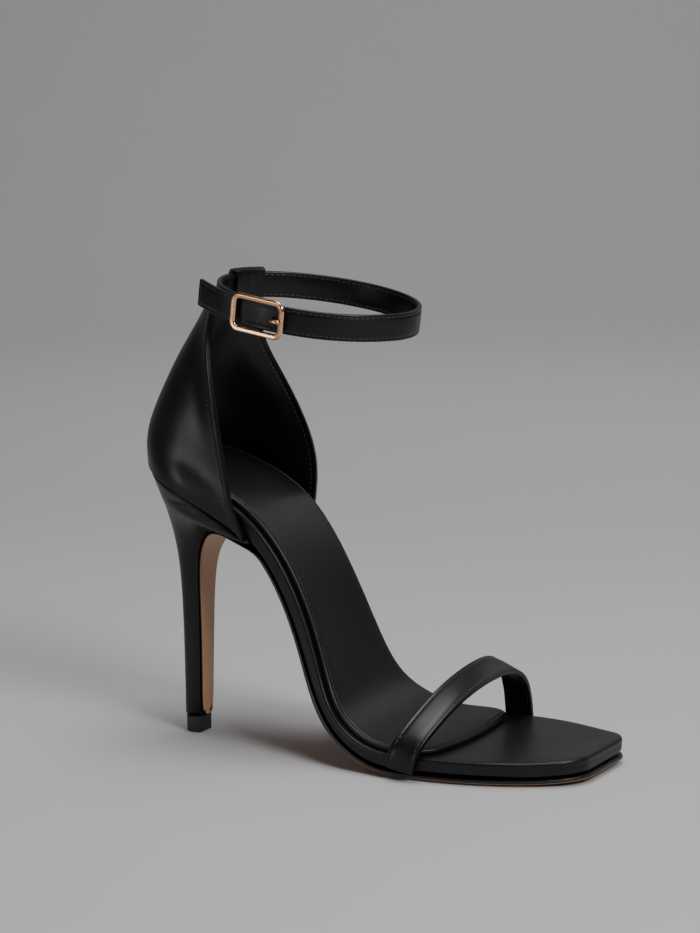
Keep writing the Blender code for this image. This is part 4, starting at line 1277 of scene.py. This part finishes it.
@dataclass
class AnkleStrap:
    """The ankle strap: sewn round the bar, round the ankle and out through the buckle over its own start."""

    hole: float = 2.1 * MM
    hole_pitch: float = 7.3 * MM
    hole_numbers: tuple[int, ...] = (0, -1, -2, -3, 1, 2)
    soft_end: float = 0.7 * MM
    spacing: float = 0.9 * MM
    fine: float = 0.2 * MM
    fine_end: float = 3.4 * MM
    sewn_from: int = 21
    finish: Leather = Leather("ankle_strap_leather", roughness=0.36, coat=0.12)
    seam: Seam = Seam(length=1.6 * MM, width=0.40 * MM, height=0.30 * MM, pitch=2.25 * MM)
    thread: Thread = Thread("ankle_strap_thread")

    def path(self) -> list[tuple[Vector, float, float]]:
        """Middle line in the loop's plane, its lift and its thickness, from the sewn end to the tip."""
        strap = LOOP.strap
        skived = strap / 2
        wrap = BUCKLE.bar + LOOP.gap / 2 + skived / 2
        turned_in = -strap / 2 - LOOP.gap - skived / 2
        path = []
        for degrees in (64.0, 68.0, 72.0, 76.0):
            path.append((LOOP.oval(math.radians(degrees), turned_in), 0.0, skived))
        path.append((LOOP.oval(math.radians(79.0), BUCKLE.bar_out() - wrap + 0.1 * MM), 0.0, skived))
        for degrees in range(-90, 91, 30):
            turn = math.radians(degrees)
            place = Vector((wrap * math.cos(turn), BUCKLE.bar_out() + wrap * math.sin(turn), 0.0))
            path.append((BUCKLE.local() @ place, 0.0, skived))
        path.append((LOOP.oval(math.radians(78.5), (strap - skived) / 2), 0.0, skived))
        path.append((LOOP.oval(math.radians(74.0), 0.0), 0.0, strap))
        for degrees in range(68, -111, -6):
            path.append((LOOP.oval(math.radians(degrees), 0.0), 0.0, strap))
        for degrees in range(-116, -283, -6):
            out = BUCKLE.second_turn() * smoothstep(-degrees, 205, 254)
            path.append((LOOP.oval(math.radians(degrees), out), 0.0, strap))
        outside = strap + 2 * LOOP.gap + LOOP.counter_wall + LOOP.fold_step
        for row in TIP_ROWS:
            path.append((
                LOOP.oval(math.radians(row.angle), row.out * outside), row.lift * LOOP.strap_width, strap
            ))
        return path

    def stations(self) -> list[Station]:
        """Stations along the strap."""
        rows = [(place.x, place.y, lift, thick) for place, lift, thick in self.path()]
        knots = chord_knots([row[:2] for row in rows])
        curve = natural_spline(knots, rows)
        loop = LOOP.matrix()
        turn = loop.to_3x3()
        up = turn @ Z_AXIS
        even = knots[-1] - self.fine_end
        count = round(even / self.spacing)
        fine = round(self.fine_end / self.fine)
        places = [even * i / count for i in range(count)]
        places += [even + self.fine_end * i / fine for i in range(fine + 1)]
        stations = []
        for knot in places:
            x, y, lift, thick = curve(knot)
            low = curve(max(knot - self.fine, 0.0))
            high = curve(min(knot + self.fine, knots[-1]))
            along = Vector((high[0] - low[0], high[1] - low[1], 0.0)).normalized()
            normal = turn @ Vector((-along.y, along.x, 0.0))
            thick = min(max(thick, LOOP.strap / 2), LOOP.strap)
            stations.append(Station(loop @ Vector((x, y, lift)), up, normal, thick))
        return stations

    def build(self) -> None:
        """Makes the strap, its holes and its stitches."""
        section = StrapSection(LOOP.strap_width, LOOP.strap, seam_in=1.25 * MM, crown=0.12 * MM)
        stations = self.stations()
        mesh = self.punch(finish_bmesh(sweep(stations, section, self.soft_end), "ankle_strap_band"))
        show(mesh, "ankle_strap_band", self.finish.build(), "ankle_strap_leather", "ankle_strap")
        threads = bmesh.new()
        knots = chord_knots([station.centre for station in stations])
        sewn = [station for station, knot in zip(stations, knots) if knots[-1] - knot >= section.seam_in]
        for face in (1, -1):
            rows = strap_seams(sewn[self.sewn_from :], section, face)
            for row in rows:
                self.seam.sew(threads, row)
            if face > 0:
                ends = rows[0][-1], rows[1][-1]
                middle = ends[0][0].lerp(ends[1][0], 0.5)
                self.seam.sew(threads, [ends[0], (middle, ends[0][1]), ends[1]])
        show_stitches(threads, "ankle_strap_stitches", self.thread, "ankle_strap_leather")

    def punch(self, mesh: Mesh) -> Mesh:
        """Cuts the strap's holes and returns the cut mesh."""
        buckle = LOOP.matrix() @ BUCKLE.local()
        band = placed("band", mesh)
        tools = []
        for number in self.hole_numbers:
            shift = BUCKLE.prong_hole - number * self.hole_pitch
            centre = Matrix.Translation((shift, BUCKLE.second_turn() - LOOP.gap, 0.0))
            bm = bmesh.new()
            bmesh.ops.create_cone(
                bm,
                cap_ends=True,
                segments=20,
                radius1=self.hole / 2,
                radius2=self.hole / 2,
                depth=1.9 * LOOP.strap,
                matrix=buckle @ centre @ Matrix.Rotation(math.pi / 2, 4, "X"),
            )
            tools.append(placed("punch", finish_bmesh(bm, "punch")))
            modifier = band.modifiers.new("hole", "BOOLEAN")
            modifier.operation = "DIFFERENCE"
            modifier.solver = "EXACT"
            modifier.use_self = True
            modifier.object = tools[-1]
        cut = baked(band)
        log.info("ankle strap: %d faces before the holes, %d after", len(mesh.polygons), len(cut.polygons))
        for tool in tools:
            bpy.data.objects.remove(tool)
        return cut


@dataclass
class Buckle:
    """The cast buckle with a grooved rail and a sunk bar, and its prong."""

    side_rail: float = 1.28 * MM
    corner_steps: int = 12
    bar_rise: float = 0.8 * MM
    bar_bend: float = 0.6 * MM
    rail_points: int = 20
    bar_points: int = 12
    prong_points: int = 16
    groove: float = 0.20
    groove_at: float = -0.12
    groove_width: float = 0.22
    prong_pitch: float = 0.35 * MM
    finish: Plating = Plating("buckle_frame_plating")
    prong_finish: Plating = Plating("buckle_prong_plating", roughness=0.18)

    def build(self) -> None:
        """Makes the frame and the prong."""
        self.frame()
        self.prong()

    def frame(self) -> None:
        """The rounded frame and its bar."""
        place = LOOP.matrix() @ BUCKLE.local()
        half_length = BUCKLE.length / 2 - BUCKLE.rail
        half_height = BUCKLE.height / 2 - BUCKLE.rail
        corner = BUCKLE.corner - BUCKLE.rail
        rings = []
        quarters = ((1, 1), (-1, 1), (-1, -1), (1, -1))
        for quarter, (sx, sz) in enumerate(quarters):
            for step in range(self.corner_steps + 1):
                turn = math.radians(90 * quarter + 90 / self.corner_steps * step)
                ahead = Vector((math.cos(turn), 0.0, math.sin(turn)))
                along, up = sx * (half_length - corner), sz * (half_height - corner)
                centre = Vector((along, BUCKLE.frame_out(), up))
                wide = BUCKLE.rail + (self.side_rail - BUCKLE.rail) * ahead.x**2
                rings.append(self.rail_ring(place, centre + ahead * corner, ahead, wide))
        bar = []
        ends = (
            (BUCKLE.frame_out(), half_height),
            (BUCKLE.bar_out() + self.bar_rise, half_height),
            (BUCKLE.bar_out(), half_height - self.bar_bend),
            (BUCKLE.bar_out(), self.bar_bend - half_height),
            (BUCKLE.bar_out() + self.bar_rise, -half_height),
            (BUCKLE.frame_out(), -half_height),
        )
        for i, (out, lift) in enumerate(ends):
            before = Vector(ends[max(i - 1, 0)])
            after = Vector(ends[min(i + 1, len(ends) - 1)])
            along = (after - before).normalized()
            side = Vector((0.0, along.y, -along.x))
            bar.append(circle(place, Vector((0.0, out, lift)), X_AXIS, side, BUCKLE.bar, self.bar_points))
        bm = tube(rings, closed=True)
        bm.from_mesh(finish_bmesh(tube(bar), "bar"))
        mesh = subdivided(bm, "buckle_casting", 1)
        show(mesh, "buckle_casting", self.finish.build(), "buckle_frame_metal", "buckle_frame")

    def rail_ring(self, place: Matrix, centre: Vector, ahead: Vector, wide: float) -> list[Vector]:
        """Section of the rail: round, with a shallow groove along its outer face."""
        ring = []
        for k in range(self.rail_points):
            turn = 2 * math.pi * k / self.rail_points
            out = math.sin(turn)
            groove = 0.0
            if out > 0.0:
                depth = self.groove * BUCKLE.rail
                groove = depth * hump(math.cos(turn), self.groove_at, self.groove_width)
            spot = centre + ahead * (wide * math.cos(turn)) + Vector((0.0, BUCKLE.rail * out - groove, 0.0))
            ring.append(place @ spot)
        return ring

    def prong(self) -> None:
        """The prong: hooked round the bar, up through its hole and on to the front rail."""
        place = LOOP.matrix() @ BUCKLE.local()
        hook = BUCKLE.bar + LOOP.gap / 2 + BUCKLE.prong
        hole = BUCKLE.prong_hole
        rail = BUCKLE.length / 2 - BUCKLE.rail
        rest = BUCKLE.frame_out() + BUCKLE.rail + LOOP.gap + BUCKLE.prong
        bar_out = BUCKLE.bar_out()
        second = BUCKLE.second_turn()
        points = []
        for degrees in (150, 178, 206, 234, 260, 286, 315):
            turn = math.radians(degrees)
            points.append(Vector((hook * math.cos(turn), bar_out + hook * math.sin(turn), 0.0)))
        points += [
            Vector((0.45 * hole, bar_out - 0.42 * hook, 0.0)),
            Vector((0.90 * hole, bar_out - 0.02 * hook, 0.0)),
            Vector((hole, second - 0.75 * LOOP.strap, 0.0)),
            Vector((hole, second + 0.40 * LOOP.strap, 0.0)),
            Vector((hole + 1.2 * MM, rest - 0.4 * MM, 0.0)),
            Vector((rail - 0.6 * MM, rest, 0.0)),
            Vector((rail + 0.9 * MM, rest - 0.2 * MM, 0.0)),
        ]
        line = smooth_line(points, self.prong_pitch)
        knots = chord_knots(line)
        rings = []
        for i, spot in enumerate(line):
            along = (line[min(i + 1, len(line) - 1)] - line[max(i - 1, 0)]).normalized()
            end = min(knots[i], knots[-1] - knots[i]) / BUCKLE.prong
            radius = BUCKLE.prong * math.sqrt(max(1 - (1 - min(end + 0.02, 1.0)) ** 2, 0.02))
            side = along.cross(Z_AXIS).normalized()
            rings.append(circle(place, spot, Z_AXIS, side, radius, self.prong_points))
        mesh = finish_bmesh(tube(rings), "buckle_pin")
        show(mesh, "buckle_pin", self.prong_finish.build(), "buckle_prong_metal", "buckle_prong")

@dataclass(frozen=True)
class Lamp:
    """A soft box: where it stands, what it points at, its size, its power and its spread in degrees."""

    name: str
    place: tuple[float, float, float]
    target: tuple[float, float, float]
    size: tuple[float, float]
    power: float
    spread: float = 180.0
    colour: Colour = (1.0, 1.0, 1.0)

    def hang(self) -> None:
        """Adds the light."""
        light = bpy.data.lights.new(self.name, "AREA")
        light.shape = "RECTANGLE"
        light.size = self.size[0]
        light.size_y = self.size[1]
        light.energy = self.power
        light.spread = math.radians(self.spread)
        light.color = self.colour
        lamp = placed(self.name, light)
        lamp.location = self.place
        lamp.visible_camera = False
        way = Vector(self.target) - Vector(self.place)
        lamp.rotation_euler = way.to_track_quat("-Z", "Y").to_euler()


@dataclass
class Studio:
    """A round paper sweep, soft boxes and the camera at the photograph's angle."""

    radius: float = 2.4
    wall: float = 2.2
    bend: float = 1.0
    bend_steps: int = 12
    turn_steps: int = 72
    azimuth: float = math.radians(25.64)
    elevation: float = math.radians(9.3)
    roll: float = math.radians(-0.7)
    distance: float = 1.175
    focal_px: float = 3000.0
    image_px: float = 933.0
    sensor: float = 36.0
    target: tuple[float, float, float] = (86.45 * MM, 0.0, 112.69 * MM)
    paper: Backdrop = Backdrop("studio_paper")
    world: float = 0.06
    lamps: tuple[Lamp, ...] = (
        Lamp("key_box", (0.95, -0.55, 0.86), (0.0, 0.0, 0.04), (0.40, 0.40), 12.0),
        Lamp("top_box", (0.05, 0.10, 1.50), (0.0, 0.05, 0.0), (1.0, 0.8), 8.0, 120.0),
        Lamp("back_box", (0.45, 1.15, 0.85), (0.0, 0.0, 0.06), (0.9, 0.45), 1.3),
        Lamp("left_strip", (-0.72, -0.86, 0.22), (0.0, 0.0, 0.10), (0.22, 0.40), 1.3),
        Lamp("wall_wash", (-0.2, 0.4, 1.5), (-0.7, 2.0, 0.45), (0.8, 0.5), 7.0, 110.0),
    )

    def build(self) -> None:
        """Makes the sweep, the lights and the camera."""
        self.sweep()
        for lamp in self.lamps:
            lamp.hang()
        world = bpy.data.worlds.new("studio")
        world.use_nodes = True
        background = world.node_tree.nodes["Background"]
        background.inputs["Color"].default_value = (1.0, 1.0, 1.0, 1.0)
        background.inputs["Strength"].default_value = self.world
        bpy.context.scene.world = world
        self.camera()

    def sweep(self) -> None:
        """The floor and the wall behind it, in one turned sheet of paper."""
        flat = self.radius - self.bend
        points = [(0.0, 0.0, 0.0)]
        for step in range(self.bend_steps + 1):
            turn = math.pi / 2 * step / self.bend_steps
            points.append((flat + self.bend * math.sin(turn), 0.0, self.bend * (1 - math.cos(turn))))
        points.append((self.radius, 0.0, self.wall))
        bm = bmesh.new()
        profile = [bm.verts.new(point) for point in points]
        edges = [bm.edges.new(pair) for pair in zip(profile, profile[1:])]
        bmesh.ops.spin(
            bm,
            geom=[*profile, *edges],
            cent=(0.0, 0.0, 0.0),
            axis=Z_AXIS,
            angle=2 * math.pi,
            steps=self.turn_steps,
            use_merge=True,
        )
        bmesh.ops.remove_doubles(bm, verts=bm.verts, dist=0.0001)
        mesh = finish_bmesh(bm, "studio_floor")
        mesh.materials.append(self.paper.build())
        mesh.shade_smooth()
        placed("studio_floor", mesh)

    def camera(self) -> None:
        """The camera."""
        a, e = self.azimuth, self.elevation
        back = Vector((math.sin(a) * math.cos(e), -math.cos(a) * math.cos(e), math.sin(e)))
        right = Vector((math.cos(a), math.sin(a), 0.0))
        up = back.cross(right)
        tilted = right * math.cos(self.roll) + up * math.sin(self.roll)
        up = up * math.cos(self.roll) - right * math.sin(self.roll)
        data = bpy.data.cameras.new("photo_camera")
        data.lens = self.focal_px / self.image_px * self.sensor
        data.sensor_width = self.sensor
        data.clip_start = 0.05
        camera = placed("photo_camera", data)
        middle = sole_origin() + Vector(self.target)
        camera.matrix_world = axes(tilted, up, back, middle + back * self.distance)
        bpy.context.scene.camera = camera


def main() -> None:
    """Builds the studio and every piece."""
    logging.basicConfig(level=logging.INFO, format="%(name)s: %(message)s")
    Studio().build()
    for part in (Outsole, Platform, Sock, Heel, TopPiece, Counter, ToeStrap, AnkleStrap, Buckle):
        log.info("building %s", part.__name__)
        part().build()


if __name__ == "__main__":
    main()
